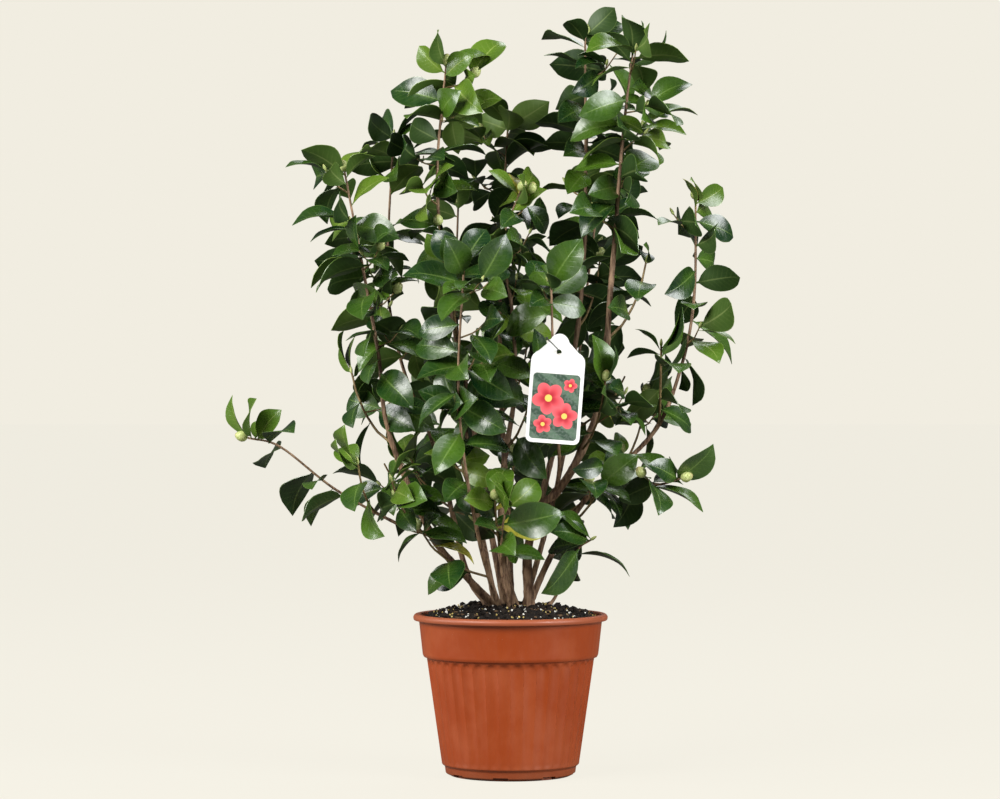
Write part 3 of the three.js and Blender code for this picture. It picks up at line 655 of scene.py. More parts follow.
class Value:
    """A socket that takes part in plain arithmetic: each step adds a node."""

    def __init__(self, nodes, socket):
        self.nodes = nodes
        self.socket = socket

    def math(self, operation, other=0.0, clamp=False):
        return self.nodes.add("ShaderNodeMath", {0: self, 1: other}, operation=operation, use_clamp=clamp)[0]

    def band(self, start, end, low=0.0, high=1.0):
        """A smooth step from start to end."""
        inputs = {"Value": self, "From Min": start, "From Max": end, "To Min": low, "To Max": high}
        return self.nodes.add("ShaderNodeMapRange", inputs, interpolation_type="SMOOTHSTEP")[0]

    __add__ = partialmethod(math, "ADD")
    __sub__ = partialmethod(math, "SUBTRACT")
    __mul__ = partialmethod(math, "MULTIPLY")
    __truediv__ = partialmethod(math, "DIVIDE")
    __pow__ = partialmethod(math, "POWER")
    __abs__ = partialmethod(math, "ABSOLUTE")


class Outputs:
    """A node's outputs as values, by name or by place."""

    def __init__(self, nodes, node):
        self.nodes = nodes
        self.node = node

    def __getitem__(self, key):
        return Value(self.nodes, self.node.outputs[key])


class Nodes:
    """A node tree, with short ways to add nodes and join them."""

    def __init__(self, tree):
        self.tree = tree

    def put(self, node, inputs):
        """Joins values to a node's inputs and sets plain ones; colours come without alpha."""
        for name, value in inputs.items():
            socket = node.inputs[name]
            if isinstance(value, Value):
                self.tree.links.new(value.socket, socket)
            else:
                socket.default_value = (*value, 1.0) if socket.type == "RGBA" else value

    def add(self, kind, inputs=None, **settings):
        node = self.tree.nodes.new(kind)
        for name, value in settings.items():
            setattr(node, name, value)
        self.put(node, inputs or {})
        return Outputs(self, node)

    def mix(self, share, a, b):
        return self.add("ShaderNodeMix", {0: share, 6: a, 7: b}, data_type="RGBA")[2]

    def place(self, stretch=(1, 1, 1), move=(0, 0, 0)):
        """Object coordinates, moved and stretched."""
        source = self.add("ShaderNodeTexCoord")["Object"]
        return self.add("ShaderNodeMapping", {"Vector": source, "Location": move, "Scale": stretch})[0]

    def noise(self, scale, detail=3.0, roughness=0.5, stretch=(1, 1, 1)):
        inputs = {"Vector": self.place(stretch), "Scale": scale, "Detail": detail, "Roughness": roughness}
        return self.add("ShaderNodeTexNoise", inputs)[0]

    def parts(self, vector):
        return self.add("ShaderNodeSeparateXYZ", {0: vector})

    def uv(self):
        return self.parts(self.add("ShaderNodeUVMap", uv_map="UVMap")[0])

    def bump(self, height, strength, distance):
        return self.add("ShaderNodeBump", {"Height": height, "Strength": strength, "Distance": distance})[0]

    def use(self, group, **inputs):
        """The outputs of a node group, with its inputs set."""
        named = {name.replace("_", " "): value for name, value in inputs.items()}
        return self.add("ShaderNodeGroup", named, node_tree=group)

    def by_camera(self, seen, lit):
        """One shader for what the camera sees, and another for all other light."""
        is_camera = self.add("ShaderNodeLightPath")["Is Camera Ray"]
        return self.add("ShaderNodeMixShader", {0: is_camera, 1: lit, 2: seen})[0]


class Group(Nodes):
    def __init__(self, name, *inputs):
        super().__init__(bpy.data.node_groups.new(name, "ShaderNodeTree"))
        self.set_out("INPUT", inputs)
        self.given = self.add("NodeGroupInput")

    def set_out(self, side, names):
        for name in names:
            kind = "NodeSocketColor" if name in COLOUR_SOCKETS else "NodeSocketFloat"
            self.tree.interface.new_socket(name=name, in_out=side, socket_type=kind)

    def finish(self, **results):
        self.set_out("OUTPUT", results)
        self.add("NodeGroupOutput", results)
        return self.tree


class Material(Nodes):
    """A material with a Principled shader."""

    def __init__(self, name, **inputs):
        self.material = bpy.data.materials.new(name)
        self.material.use_nodes = True
        super().__init__(self.material.node_tree)
        self.shader = self.tree.nodes["Principled BSDF"]
        self.set(**inputs)

    def set(self, **inputs):
        """Sets or joins inputs of the shader, and gives the material."""
        self.put(self.shader, {name.replace("_", " "): value for name, value in inputs.items()})
        return self.material


# ---- materials

# The sides of leaves: dark, light and rib colours, and for upper sides the strength of the veins
# and the gloss.
UPPER_SIDES = {
    "leaf_mature": ((0.002, 0.022, 0.005), (0.078, 0.165, 0.012), (0.17, 0.27, 0.06), 0.1, 0.62),
    "leaf_young": ((0.045, 0.105, 0.008), (0.14, 0.23, 0.022), (0.3, 0.38, 0.1), 0.12, 0.4),
    "leaf_yellowing": ((0.25, 0.28, 0.025), (0.44, 0.4, 0.05), (0.48, 0.5, 0.15), 0.3, 0.4),
}
UNDERSIDES = {
    "leaf_underside": ((0.01, 0.03, 0.006), (0.042, 0.082, 0.018), (0.18, 0.24, 0.08)),
    "young_underside": ((0.04, 0.085, 0.014), (0.1, 0.16, 0.03), (0.24, 0.3, 0.1)),
}

# Loose bits on the compost: dark and light colour, and roughness.
CRUMB_COLOURS = {
    "peat_crumbs": ((0.005, 0.004, 0.003), (0.02, 0.013, 0.009), 0.95),
    "bark_chips": ((0.05, 0.028, 0.014), (0.17, 0.1, 0.05), 0.85),
    "perlite_grains": ((0.55, 0.53, 0.47), (0.85, 0.83, 0.76), 0.8),
    "feed_beads": ((0.42, 0.3, 0.07), (0.62, 0.5, 0.2), 0.4),
}

# How many scales a bud has round it and from its foot to its tip.
SCALES_ROUND = 5
SCALES_UP = 4.5

# Blossoms printed on the tag: millimetres right of and above the hole, radius and turn.
TAG_BLOSSOMS = ((-9, -60, 21, 0.4), (13, -82, 17, 1.1), (-14, -94, 12, 2.0), (18, -42, 9, 0.0))
PRINT_HALF_WIDTH = 30.5
PRINT_HALF_HEIGHT = 42.5
PRINT_MIDDLE = -70.5
PRINT_CORNER = 5


def leaf_veins_group():
    """Midrib, side veins and a thin painted highlight along the margin, on a blade that is lighter near its
    stalk.
    """
    group = Group("leaf_veins", "Dark", "Light", "Rib", "Vein Strength")
    given, uv = group.given, group.uv()
    across, along = abs(uv[0] - 0.5), uv[1]
    rib = (across / along.band(0.0, 1.0, 0.036, 0.014)).band(1.5, 0.5)
    phase = (along - across * 0.34) * 10.0
    away = abs(phase.math("FRACT") - 0.5)
    vein = away.band(0.13, 0.02) * across.band(0.46, 0.2)
    tone = group.add("ShaderNodeAttribute", attribute_name="tone")["Fac"]
    glow = across.band(0.38, 0.04) * along.band(0.85, 0.15)
    patchy = group.noise(26.0, 2.0).band(0.3, 0.7, 0.0, 0.2) + glow * 0.3
    share = (tone**1.7 * 0.6).math("ADD", patchy, clamp=True)
    blade = group.mix(share, given["Dark"], given["Light"])
    veined = group.mix(vein * given["Vein Strength"], blade, given["Rib"])
    ribbed = group.mix(rib * 0.46, veined, given["Rib"])
    # A thin pale line along the margin: a painted highlight on the leaf's edge.
    edged = group.mix(across.band(0.47, 0.49) * 0.28, ribbed, given["Rib"])
    wax = group.noise(160.0, 2.0).band(0.3, 0.75, 0.24, 0.36)
    grain = group.noise(900.0, 2.0) * 0.25
    quilt = group.noise(70.0, 1.0) * 1.6
    return group.finish(Color=edged, Roughness=wax, Height=vein * -0.35 + grain + quilt + rib * -0.8)


def upper_side(veins, name):
    """The waxy upper side of a leaf."""
    dark, light, rib, strength, gloss = UPPER_SIDES[name]
    paint = Material(name, Specular_IOR_Level=gloss, Coat_Roughness=0.2, Coat_Weight=0.18)
    blade = paint.use(veins, Dark=dark, Light=light, Rib=rib, Vein_Strength=strength)
    relief = paint.bump(blade["Height"], 0.35, 0.0006)
    return paint.set(Base_Color=blade["Color"], Roughness=blade["Roughness"], Normal=relief)


def underside(veins, name):
    """The paler, duller underside of a leaf, where the veins stand proud."""
    dark, light, rib = UNDERSIDES[name]
    paint = Material(name, Roughness=0.46, Specular_IOR_Level=0.25)
    blade = paint.use(veins, Dark=dark, Light=light, Rib=rib, Vein_Strength=0.1)
    return paint.set(Base_Color=blade["Color"], Normal=paint.bump(blade["Height"], -0.35, 0.0006))


def leaf_materials():
    """The sides of mature, young and yellowing leaves, each upper side followed by its underside."""
    veins = leaf_veins_group()
    mature, young, yellow = (upper_side(veins, name) for name in UPPER_SIDES)
    dull, pale = (underside(veins, name) for name in UNDERSIDES)
    return mature, dull, young, pale, yellow, pale


def bark_streaks_group():
    """Long streaks and fine cracks that run up a stem, with small pale pores."""
    group = Group("bark_streaks", "Dark", "Light", "Pore")
    given = group.given
    streak = group.noise(330.0, 4.0, 0.62, stretch=(1, 1, 0.13))
    patch = group.noise(62.0, 3.0, 0.6, stretch=(1, 1, 0.5))
    pore = group.noise(520.0, 1.0, stretch=(1, 1, 1.6)).band(0.68, 0.76)
    wood = group.mix((streak + patch * 0.8).band(0.66, 1.12), given["Dark"], given["Light"])
    cracks = streak.band(0.34, 0.5) + pore * 0.4
    return group.finish(Color=group.mix(pore, wood, given["Pore"]), Height=cracks)


def bark_material(streaks):
    """Grey-brown at the foot of the stems, turning to smooth red-brown higher up."""
    paint = Material("bark", Roughness=0.72, Specular_IOR_Level=0.35)
    old = paint.use(streaks, Dark=(0.1, 0.05, 0.028), Light=(0.39, 0.245, 0.145), Pore=(0.5, 0.37, 0.25))
    young = paint.use(streaks, Dark=(0.095, 0.052, 0.03), Light=(0.3, 0.19, 0.115), Pore=(0.42, 0.32, 0.22))
    share = paint.parts(paint.place())[2].band(0.3, 0.56)
    relief = paint.bump(old["Height"], 0.6, 0.0009)
    return paint.set(Base_Color=paint.mix(share, old["Color"], young["Color"]), Normal=relief)


def twig_material(streaks):
    """Thin young wood: olive to red-brown."""
    paint = Material("twig_bark", Roughness=0.6, Specular_IOR_Level=0.35)
    wood = paint.use(streaks, Dark=(0.085, 0.05, 0.02), Light=(0.24, 0.17, 0.07), Pore=(0.33, 0.26, 0.13))
    return paint.set(Base_Color=wood["Color"], Normal=paint.bump(wood["Height"], 0.3, 0.0004))


def bud_material():
    """Overlapping pale green scales, browner at their edges and at the tip."""
    paint = Material("bud_scales", Roughness=0.48, Specular_IOR_Level=0.45)
    uv = paint.uv()
    ridge = abs((uv[0] * SCALES_ROUND).math("FRACT") - 0.5)
    scale = (uv[1] * SCALES_UP + ridge).math("FRACT")
    green = paint.mix(paint.noise(420.0).band(0.35, 0.7), (0.36, 0.44, 0.13), (0.6, 0.64, 0.28))
    edged = paint.mix(scale.band(0.86, 0.98) * 0.65, green, (0.2, 0.14, 0.05))
    tipped = paint.mix(uv[1].band(0.84, 1.0) * 0.6, edged, (0.3, 0.2, 0.08))
    return paint.set(Base_Color=tipped, Normal=paint.bump(scale, 0.5, 0.0007))


def scuffs_group():
    """Fine moulded grain with faint scuffs and settled dust for plastic."""
    group = Group("plastic_scuffs", "Base", "Worn", "Dust", "Dust Strength")
    given = group.given
    cloud = group.noise(14.0, 4.0, 0.6)
    run = group.noise(120.0, 3.0, 0.6, stretch=(1, 1, 0.06))
    fleck = group.noise(700.0, 2.0).band(0.7, 0.78)
    worn = group.mix(cloud.band(0.38, 0.68, 0.0, 0.75), given["Base"], given["Worn"])
    streaked = group.mix(run.band(0.6, 0.8, 0.0, 0.4), worn, given["Worn"])
    dusty = group.mix(fleck * given["Dust Strength"], streaked, given["Dust"])
    rough = (cloud + run).band(0.7, 1.3, 0.36, 0.54)
    return group.finish(Color=dusty, Roughness=rough, Height=group.noise(1300.0, 2.0) * 0.5 + fleck)


def pot_material(scuffs):
    """Terracotta-coloured plastic, dull with soil at its foot, and paler along its rim: partly sun-bleaching,
    partly a painted sheen.
    """
    paint = Material("terracotta_plastic", Specular_IOR_Level=0.42)
    tints = dict(Base=(0.272, 0.04, 0.004), Worn=(0.32, 0.062, 0.014), Dust=(0.3, 0.2, 0.13))
    shell = paint.use(scuffs, **tints, Dust_Strength=0.35)
    height = paint.parts(paint.place())[2]
    soiled = paint.mix(height.band(0.03, 0.0) * 0.35, shell["Color"], (0.13, 0.06, 0.03))
    # A paler band along the rim: a painted sheen together with sun-bleaching.
    rim_bleach_and_sheen = paint.mix(height.band(0.2, 0.212) * 0.5, soiled, (0.33, 0.115, 0.06))
    relief = paint.bump(shell["Height"], 0.12, 0.0004)
    return paint.set(Base_Color=rim_bleach_and_sheen, Roughness=shell["Roughness"], Normal=relief)


def compost_material():
    """Nearly black fibrous mix with brown bits."""
    paint = Material("compost_mix", Roughness=0.93, Specular_IOR_Level=0.25)
    clod = paint.noise(170.0, 5.0, 0.7)
    fibre = paint.noise(600.0, 3.0, 0.6, stretch=(1, 0.3, 1))
    dark = paint.mix(clod.band(0.4, 0.65), (0.004, 0.003, 0.0025), (0.016, 0.011, 0.008))
    bits = paint.mix(fibre.band(0.62, 0.74), dark, (0.1, 0.06, 0.032))
    return paint.set(Base_Color=bits, Normal=paint.bump(clod + fibre, 0.9, 0.002))


def mottled_material(name, dark, light, roughness, gloss, grain, relief):
    """Two colours in small patches, for loose grains and chips and for the tie."""
    paint = Material(name, Roughness=roughness, Specular_IOR_Level=gloss)
    mottle = paint.noise(*grain)
    tint = paint.mix(mottle.band(0.35, 0.65), dark, light)
    return paint.set(Base_Color=tint, Normal=paint.bump(mottle, *relief))


def crumb_material(name):
    return mottled_material(name, *CRUMB_COLOURS[name], 0.3, (500.0, 3.0, 0.6), (0.6, 0.0006))


def tie_material():
    tints = ((0.012, 0.014, 0.011), (0.05, 0.055, 0.045))
    return mottled_material("tie_cord", *tints, 0.62, 0.5, (900.0, 2.0), (0.5, 0.0003))


def blossom_group():
    """A stylised five-petalled blossom: masks for its petals and its heart."""
    group = Group("printed_blossom", "Across", "Up", "Radius", "Turn")
    across, up = group.given["Across"], group.given["Up"]
    far = (across**2.0 + up**2.0).math("SQRT") / group.given["Radius"]
    lobes = (up.math("ARCTAN2", across) + group.given["Turn"]) * 2.5
    reach = far / (abs(lobes.math("COSINE")) * 0.32 + 0.7)
    return group.finish(Petals=reach.band(1.02, 0.97), Heart=far.band(0.24, 0.2), Shade=reach.band(0.2, 1.0))


def tag_material(scuffs, blossom):
    """White plastic with a printed panel of stylised blossoms."""
    paint = Material("tag_print", Specular_IOR_Level=0.45)
    tints = dict(Base=(0.82, 0.82, 0.8), Worn=(0.76, 0.77, 0.76), Dust=(0.6, 0.58, 0.52))
    card = paint.use(scuffs, **tints, Dust_Strength=0.1)
    hung = paint.place(move=[-value * MM for value in TAG_HOLE])
    inputs = {"Vector": hung, "Rotation": (0, -TAG_LEAN, 0), "Scale": (1 / MM, 1 / MM, 1 / MM)}
    upright = paint.parts(paint.add("ShaderNodeMapping", inputs)[0])
    across, up = upright[0], upright[2]
    side = (abs(across) - (PRINT_HALF_WIDTH - PRINT_CORNER)).math("MAXIMUM", 0)
    end = (abs(up - PRINT_MIDDLE) - (PRINT_HALF_HEIGHT - PRINT_CORNER)).math("MAXIMUM", 0)
    panel = (side**2.0 + end**2.0).math("SQRT").band(PRINT_CORNER + 0.2, PRINT_CORNER - 0.2)
    wave = (up * 0.28 + across * 0.2).math("SINE")
    ground = paint.mix(wave.band(-0.4, 0.4), (0.035, 0.07, 0.045), (0.09, 0.15, 0.1))
    picture = paint.mix(paint.noise(260.0, 2.0).band(0.45, 0.6, 0.0, 0.5), ground, (0.16, 0.2, 0.17))
    for x, z, radius, turn in TAG_BLOSSOMS:
        flower = paint.use(blossom, Across=across - x, Up=up - z, Radius=radius, Turn=turn)
        petals = paint.mix(flower["Shade"], (0.42, 0.015, 0.03), (0.82, 0.12, 0.14))
        picture = paint.mix(flower["Petals"], picture, petals)
        picture = paint.mix(flower["Heart"], picture, (0.85, 0.55, 0.12))
    tint = paint.mix(panel, card["Color"], picture)
    relief = paint.bump(card["Height"], 0.06, 0.0003)
    return paint.set(Base_Color=tint, Roughness=card["Roughness"], Normal=relief)


# ---- stems, boughs and twigs

BARK_SIDES = 12
BARK_STEP = 2.6
BARK_SEED_STEP = 3.7
SCAR_SPACING = 26


def fork_distances(limb, limbs):
    """Where side shoots and boughs leave a limb, as distances along it."""
    forks = [share * limb.line.length for share, _, _ in limb.sides]
    for other in limbs.values():
        if other.carrier == limb.name:
            away = np.linalg.norm(limb.line.points - other.line.points[0], axis=1)
            forks.append(limb.line.run[int(np.argmin(away))])
    return forks


def bark_swell(distance, angle, seed, forks):
    """Long ridges, lumps, old leaf scars and thicker forks, as a factor on the radius."""
    round_trip = Vector((math.cos(angle) * 1.3, math.sin(angle) * 1.3, distance * 0.018))
    ridge = noise.noise(round_trip + Vector((seed, 0, 0)))
    lump = noise.noise(Vector((seed, 5, distance * 0.03)))
    scar = math.exp(-((((distance + seed) % SCAR_SPACING) - SCAR_SPACING / 2) / 2.2) ** 2)
    fork = sum(math.exp(-(((distance - place) / 8) ** 2)) for place in forks)
    return 1 + 0.09 * ridge + 0.08 * lump + 0.08 * scar + 0.2 * min(fork, 1)


def station(line, distance):
    """The place and turn of a cross-section of a line, in metres."""
    along = Vector(line.direction(max(0, min(line.length, distance))))
    across = Vector((0, 1, 0)).cross(along).normalized()
    centre = Vector(line.at(distance)) * MM
    return Matrix.Translation(centre) @ Matrix((across, along.cross(across), along)).transposed().to_4x4()


def limb_tube(limb, limbs, seed):
    """A whole limb from its foot to its tip, with the relief of its bark."""
    bm = bmesh.new()
    forks = fork_distances(limb, limbs)
    start = 0 if limb.carrier else -FOOT_DEPTH

    def radius(distance):
        if distance > limb.bare_length:
            share = (distance - limb.bare_length) / (limb.line.length - limb.bare_length)
            return mix(limb.top, LEADER_TIP, share)
        return limb_radius(limb, max(0, distance))

    def settle_ring(verts, distance, old, new):
        for vert in verts:
            local = old.inverted() @ vert.co
            angle = math.atan2(local.y, local.x)
            reach = radius(distance) * bark_swell(distance, angle, seed, forks) * MM
            vert.co = new @ Vector((math.cos(angle) * reach, math.sin(angle) * reach, 0))

    ring = bmesh.ops.create_circle(bm, segments=BARK_SIDES, radius=MM)["verts"]
    edges = bm.edges[:]
    place = station(limb.line, start)
    settle_ring(ring, start, Matrix.Identity(4), place)
    steps = round((limb.line.length - start) / BARK_STEP)
    for i in range(1, steps + 1):
        distance = mix(start, limb.line.length, i / steps)
        grown = bmesh.ops.extrude_edge_only(bm, edges=edges)["geom"]
        edges = [part for part in grown if isinstance(part, bmesh.types.BMEdge)]
        edges = [edge for edge in edges if all(vert in grown for vert in edge.verts)]
        next_place = station(limb.line, distance)
        ring = [part for part in grown if isinstance(part, bmesh.types.BMVert)]
        settle_ring(ring, distance, place, next_place)
        place = next_place
    bmesh.ops.holes_fill(bm, edges=bm.edges)
    bmesh.ops.recalc_face_normals(bm, faces=bm.faces)
    return bm


def stems_piece(limbs, bark):
    whole = bmesh.new()
    for i, limb in enumerate(limbs.values()):
        part = mesh_from(limb_tube(limb, limbs, BARK_SEED_STEP * i), limb.name)
        whole.from_mesh(part)
        bpy.data.meshes.remove(part)
    mesh = mesh_from(whole, "stems_and_boughs", smooth_angle=60)
    piece = new_piece("stems_and_boughs", mesh, bark)
    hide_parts(*[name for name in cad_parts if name.startswith(("stem_", "bough_"))])


def twigs_piece(growths, bark):
    """All twigs, and the leaders of side shoots; the leaders of tops belong to their limbs."""
    rods = []
    for growth in growths:
        rods += growth.rods[1:] if growth.shoot.leading else growth.rods
    piece = new_piece("twigs", rods_mesh("twigs", rods), bark)


# ---- leaves and buds

LEAF_ROWS = 12
LEAF_COLUMNS = 4
LEAF_THICKNESS = 0.009
LEAF_VARIANTS = 10
LEAF_SHAPE_SEED = 77
VARIANT_STEP = 5  # by which shapes are dealt to the leaves of a shoot
SHOOT_SEEDS = 53  # factors that give each spray a seed of its own
SPRAY_SEEDS = 7
STALK = 0.075
STALK_WIDTH = 0.022
TIP_START = 0.84  # where the tip begins to draw out, as a share of the blade

# Ranges that the shapes of leaves vary over: arch along the blade, fold along the midrib, waviness
# of the margin, its phase, twist, and how far the tip turns down, as shares of the length.
LeafShape = namedtuple("LeafShape", "arch fold wave phase twist tip")
SHAPE_RANGES = LeafShape((0.02, 0.12), (0.06, 0.24), (0.01, 0.06), (0, 1), (-0.35, 0.35), (0.3, 1.3))

# Places of upper sides among the materials of leaves; each is followed by its underside.
MATURE = 0
YOUNG = 2
YELLOW = 4

# Shares of young leaves at crests and on sprays, the height above the compost where they come
# into full number, and the tone beyond which a leaf turns yellow.
YOUNG_CREST = 0.5
YOUNG_SPRAY = 0.16
YOUNG_HEIGHT = 420
YELLOWING = 0.988


def blade_half(along):
    """Half a leaf's width at a share of its length: a stalk, a broad blade and a drawn-out tip."""
    share = min(1.0, max(0.0, (along - STALK) / (1 - STALK)))
    blade = 0.5 * max(0.0, math.sin(math.pi * share)) ** LEAF_FULLNESS
    drawn = 1 - 0.4 * max(0.0, (share - TIP_START) / (1 - TIP_START))
    return max(blade * drawn, STALK_WIDTH * (1 - along), 0.004)


def leaf_template(shape):
    """A thin closed blade of unit length and width, with its underside in the next slot."""
    bm = bmesh.new()
    uv = bm.loops.layers.uv.new("UVMap")
    bmesh.ops.create_grid(bm, x_segments=LEAF_COLUMNS, y_segments=LEAF_ROWS, size=0.5)
    bmesh.ops.translate(bm, verts=bm.verts, vec=(0, 0.5, 0))
    bmesh.ops.solidify(bm, geom=bm.faces[:], thickness=LEAF_THICKNESS)
    bmesh.ops.recalc_face_normals(bm, faces=bm.faces)
    for face in bm.faces:
        face.material_index = 1 if face.normal.z < -0.5 else 0
        for loop in face.loops:
            loop[uv].uv = (loop.vert.co.x + 0.5, loop.vert.co.y)
    for vert in bm.verts:
        across, along, depth = vert.co
        x = 2 * across * blade_half(along)
        wave = math.sin(2 * math.pi * (1.5 * along + shape.phase + (0.3 if across > 0 else 0)))
        cupped = shape.fold * math.hypot(x, 0.03) + shape.arch * math.sin(math.pi * along)
        z = cupped + 2 * shape.wave * wave * x * x - shape.tip * max(0, along - 0.72) ** 2
        lean = shape.twist * (along - 0.3)
        cosine, sine = math.cos(lean), math.sin(lean)
        vert.co = (x * cosine - z * sine, along, z * cosine + x * sine + depth)
    return template_arrays(bm)


def leaf_templates():
    random = seeded_random(LEAF_SHAPE_SEED)
    shapes = [[mix(low, high, random()) for low, high in SHAPE_RANGES] for _ in range(LEAF_VARIANTS)]
    return [leaf_template(LeafShape(*shape)) for shape in shapes]


def placed_leaf(template, leaf):
    """A leaf template's points at a leaf's own place and size, in metres."""
    chord = leaf.tip - leaf.root
    upper = unit(np.cross(leaf.side, chord)) * np.linalg.norm(chord)
    x, y, z = template[0].T[:, :, None]
    return (leaf.root + x * leaf.side * leaf.width + y * chord + z * upper) * MM


def leaf_slot(leaf, growth):
    """The colour dealt to a leaf; those of one spray are young together."""
    if leaf.tone > YELLOWING:
        return YELLOW
    draw = seeded_random(growth.shoot.seed * SHOOT_SEEDS + leaf.spray * SPRAY_SEEDS)()
    height = min(1.0, (leaf.root[2] - GROUND) / YOUNG_HEIGHT)
    return YOUNG if draw < height * (YOUNG_CREST if leaf.spray == CREST_SPRAY else YOUNG_SPRAY) else MATURE


def leaves_piece(name, growths, templates, materials):
    copies = []
    for growth in growths:
        for i, leaf in enumerate(growth.leaves):
            template = templates[(i * VARIANT_STEP + growth.shoot.seed) % len(templates)]
            copies.append((template, placed_leaf(template, leaf), leaf_slot(leaf, growth), leaf.tone))
    piece = new_piece(name, joined_mesh(name, copies, smooth_angle=55), *materials)
    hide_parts(*[growth.shoot.name for growth in growths])


def bud_turn(point):
    return math.atan2(point.y, point.x) / (2 * math.pi) + 0.5


def bud_template():
    """A round bud of overlapping scales that closes in a point, of unit radius, along +Z."""
    bm = bmesh.new()
    uv = bm.loops.layers.uv.new("UVMap")
    bmesh.ops.create_uvsphere(bm, u_segments=15, v_segments=11, radius=1)
    for face in bm.faces:
        turns = [bud_turn(loop.vert.co) for loop in face.loops]
        wraps = max(turns) - min(turns) > 0.5
        for loop, turn in zip(face.loops, turns):
            shifted = turn + 1 if wraps and turn < 0.5 else turn
            loop[uv].uv = (shifted, (loop.vert.co.z + 1) / 2)
    for vert in bm.verts:
        height = (vert.co.z + 1) / 2
        scale = (SCALES_UP * height + abs((SCALES_ROUND * bud_turn(vert.co)) % 1 - 0.5)) % 1
        swell = 1 + 0.07 * (0.5 - scale)
        point = 0.28 * max(0, height - 0.8) / 0.2
        vert.co = (vert.co.x * swell, vert.co.y * swell, vert.co.z * 1.06 + point)
    return template_arrays(bm)


def placed_bud(template, bud):
    """A bud template's points at a bud's own place and size, in metres; leaf buds are slender."""
    across = unit(np.cross([0.0, 1.0, 0.0], bud.along))
    other = np.cross(bud.along, across)
    slender = 1 if bud.flower else 2.3
    x, y, z = template[0].T[:, :, None] * bud.radius
    return (bud.centre + x * across + y * other + z * slender * bud.along) * MM


def buds_piece(growths, scales):
    template = bud_template()
    copies = [(template, placed_bud(template, bud), 0, 0.5) for growth in growths for bud in growth.buds]
    piece = new_piece("buds", joined_mesh("buds", copies, smooth_angle=40), scales)


# ---- pot and compost

POT_HEIGHT = 215
RIM_RADIUS = 130
COLLAR_TOP = 122
COLLAR_FOOT = 117
COLLAR_HEIGHT = 158  # of the collar's lower edge above the floor
BODY_TOP = 111.6
BODY_FOOT = 91.4
FOOT_HEIGHT = 15.5
FOOT_RADIUS = 87.6
REST_RADIUS = 79.5
LIP_HEIGHT = 9
WALL = 2.2
FLUTED_WALL = 3.6
FLUTES = 40
FLUTE_DEPTH = 2.5
FLUTE_TOP = 156.5
DRAINS = 8
DRAIN_TURN = 0.2
DRAIN_SIZE = (20, 20, 10)
DRAIN_PLACE = REST_RADIUS + 10
POT_SEGMENTS = 320

COMPOST_EDGE = 118.2
COMPOST_EDGE_HEIGHT = 208
COMPOST_FLAT = 58  # radius out to which the mound is level
COMPOST_DEPTH = 20
COMPOST_RINGS = 52
COMPOST_SEGMENTS = 180
AXIS_GAP = 0.1

# Loose bits on the compost: how many, smallest and largest size, flatness, lift and slot.
CRUMBS = (
    (700, 1.6, 5.6, 0.7, 0.0, 0), (240, 1.6, 5.0, 0.32, 0.6, 1),
    (150, 0.9, 2.1, 0.85, 1.0, 2), (120, 1.0, 1.7, 1.0, 1.4, 3),
)
CRUMB_SHAPES = (1.5, 4.2, 8.8)
CRUMB_SEED = 909


def rounded(profile):
    """A profile of (radius, height, rounding) with each corner turned into a short curve."""
    points = []
    for i, (radius, height, rounding) in enumerate(profile):
        corner = Vector((radius, height))
        if not rounding:
            points.append(corner)
            continue
        before = Vector(profile[i - 1][:2]) - corner
        after = Vector(profile[i + 1][:2]) - corner
        start = corner + before.normalized() * min(rounding, before.length * 0.45)
        end = corner + after.normalized() * min(rounding, after.length * 0.45)
        for share in (0, 0.25, 0.5, 0.75, 1):
            points.append(start.lerp(corner, share).lerp(corner.lerp(end, share), share))
    return points


def pot_profile():
    """The pot's half section, from the middle of its underside round to its inner floor."""
    outer = [
        (0.01, 1.2, 0), (REST_RADIUS - 8, 1.2, 0), (REST_RADIUS - 6, 0, 0.4), (REST_RADIUS, 0, 0.8),
        (FOOT_RADIUS - 1.2, 3.4, 1.2), (FOOT_RADIUS, FOOT_HEIGHT - 3.2, 1), (BODY_FOOT, FOOT_HEIGHT, 1),
    ]
    for height in [*range(19, 136, 4), *range(138, 152, 2), 153, 154, 155, FLUTE_TOP]:
        share = (height - FOOT_HEIGHT) / (FLUTE_TOP - FOOT_HEIGHT)
        outer.append((mix(BODY_FOOT, BODY_TOP, share), height, 0))
    outer += [
        (BODY_TOP + 0.8, COLLAR_HEIGHT - 0.4, 0.6), (COLLAR_FOOT - 1.6, COLLAR_HEIGHT - 0.2, 0.6),
        (COLLAR_FOOT, COLLAR_HEIGHT + 3, 1.6), (COLLAR_TOP, POT_HEIGHT - LIP_HEIGHT, 0.8),
        (RIM_RADIUS - 1.2, POT_HEIGHT - LIP_HEIGHT + 0.6, 1), (RIM_RADIUS, POT_HEIGHT - 4, 3),
        (RIM_RADIUS - 3, POT_HEIGHT, 2.6), (COLLAR_TOP - WALL, POT_HEIGHT - 0.5, 1.6),
        (COLLAR_FOOT - WALL, COLLAR_HEIGHT + 3, 0), (BODY_TOP - FLUTED_WALL, COLLAR_HEIGHT - 3, 0),
        (BODY_FOOT - FLUTED_WALL, FOOT_HEIGHT + 2, 0), (FOOT_RADIUS - WALL - 4, 4, 0), (0.01, 4, 0),
    ]
    return rounded(outer)


def turned_section(profile, segments):
    """A half section of (radius, height) in millimetres turned about the Z axis."""
    bm = bmesh.new()
    verts = [bm.verts.new((radius * MM, 0, height * MM)) for radius, height in profile]
    edges = [bm.edges.new(pair) for pair in zip(verts, verts[1:])]
    spin = dict(cent=(0, 0, 0), axis=(0, 0, 1), angle=2 * math.pi, steps=segments, use_merge=True)
    bmesh.ops.spin(bm, geom=verts + edges, **spin)
    return bm


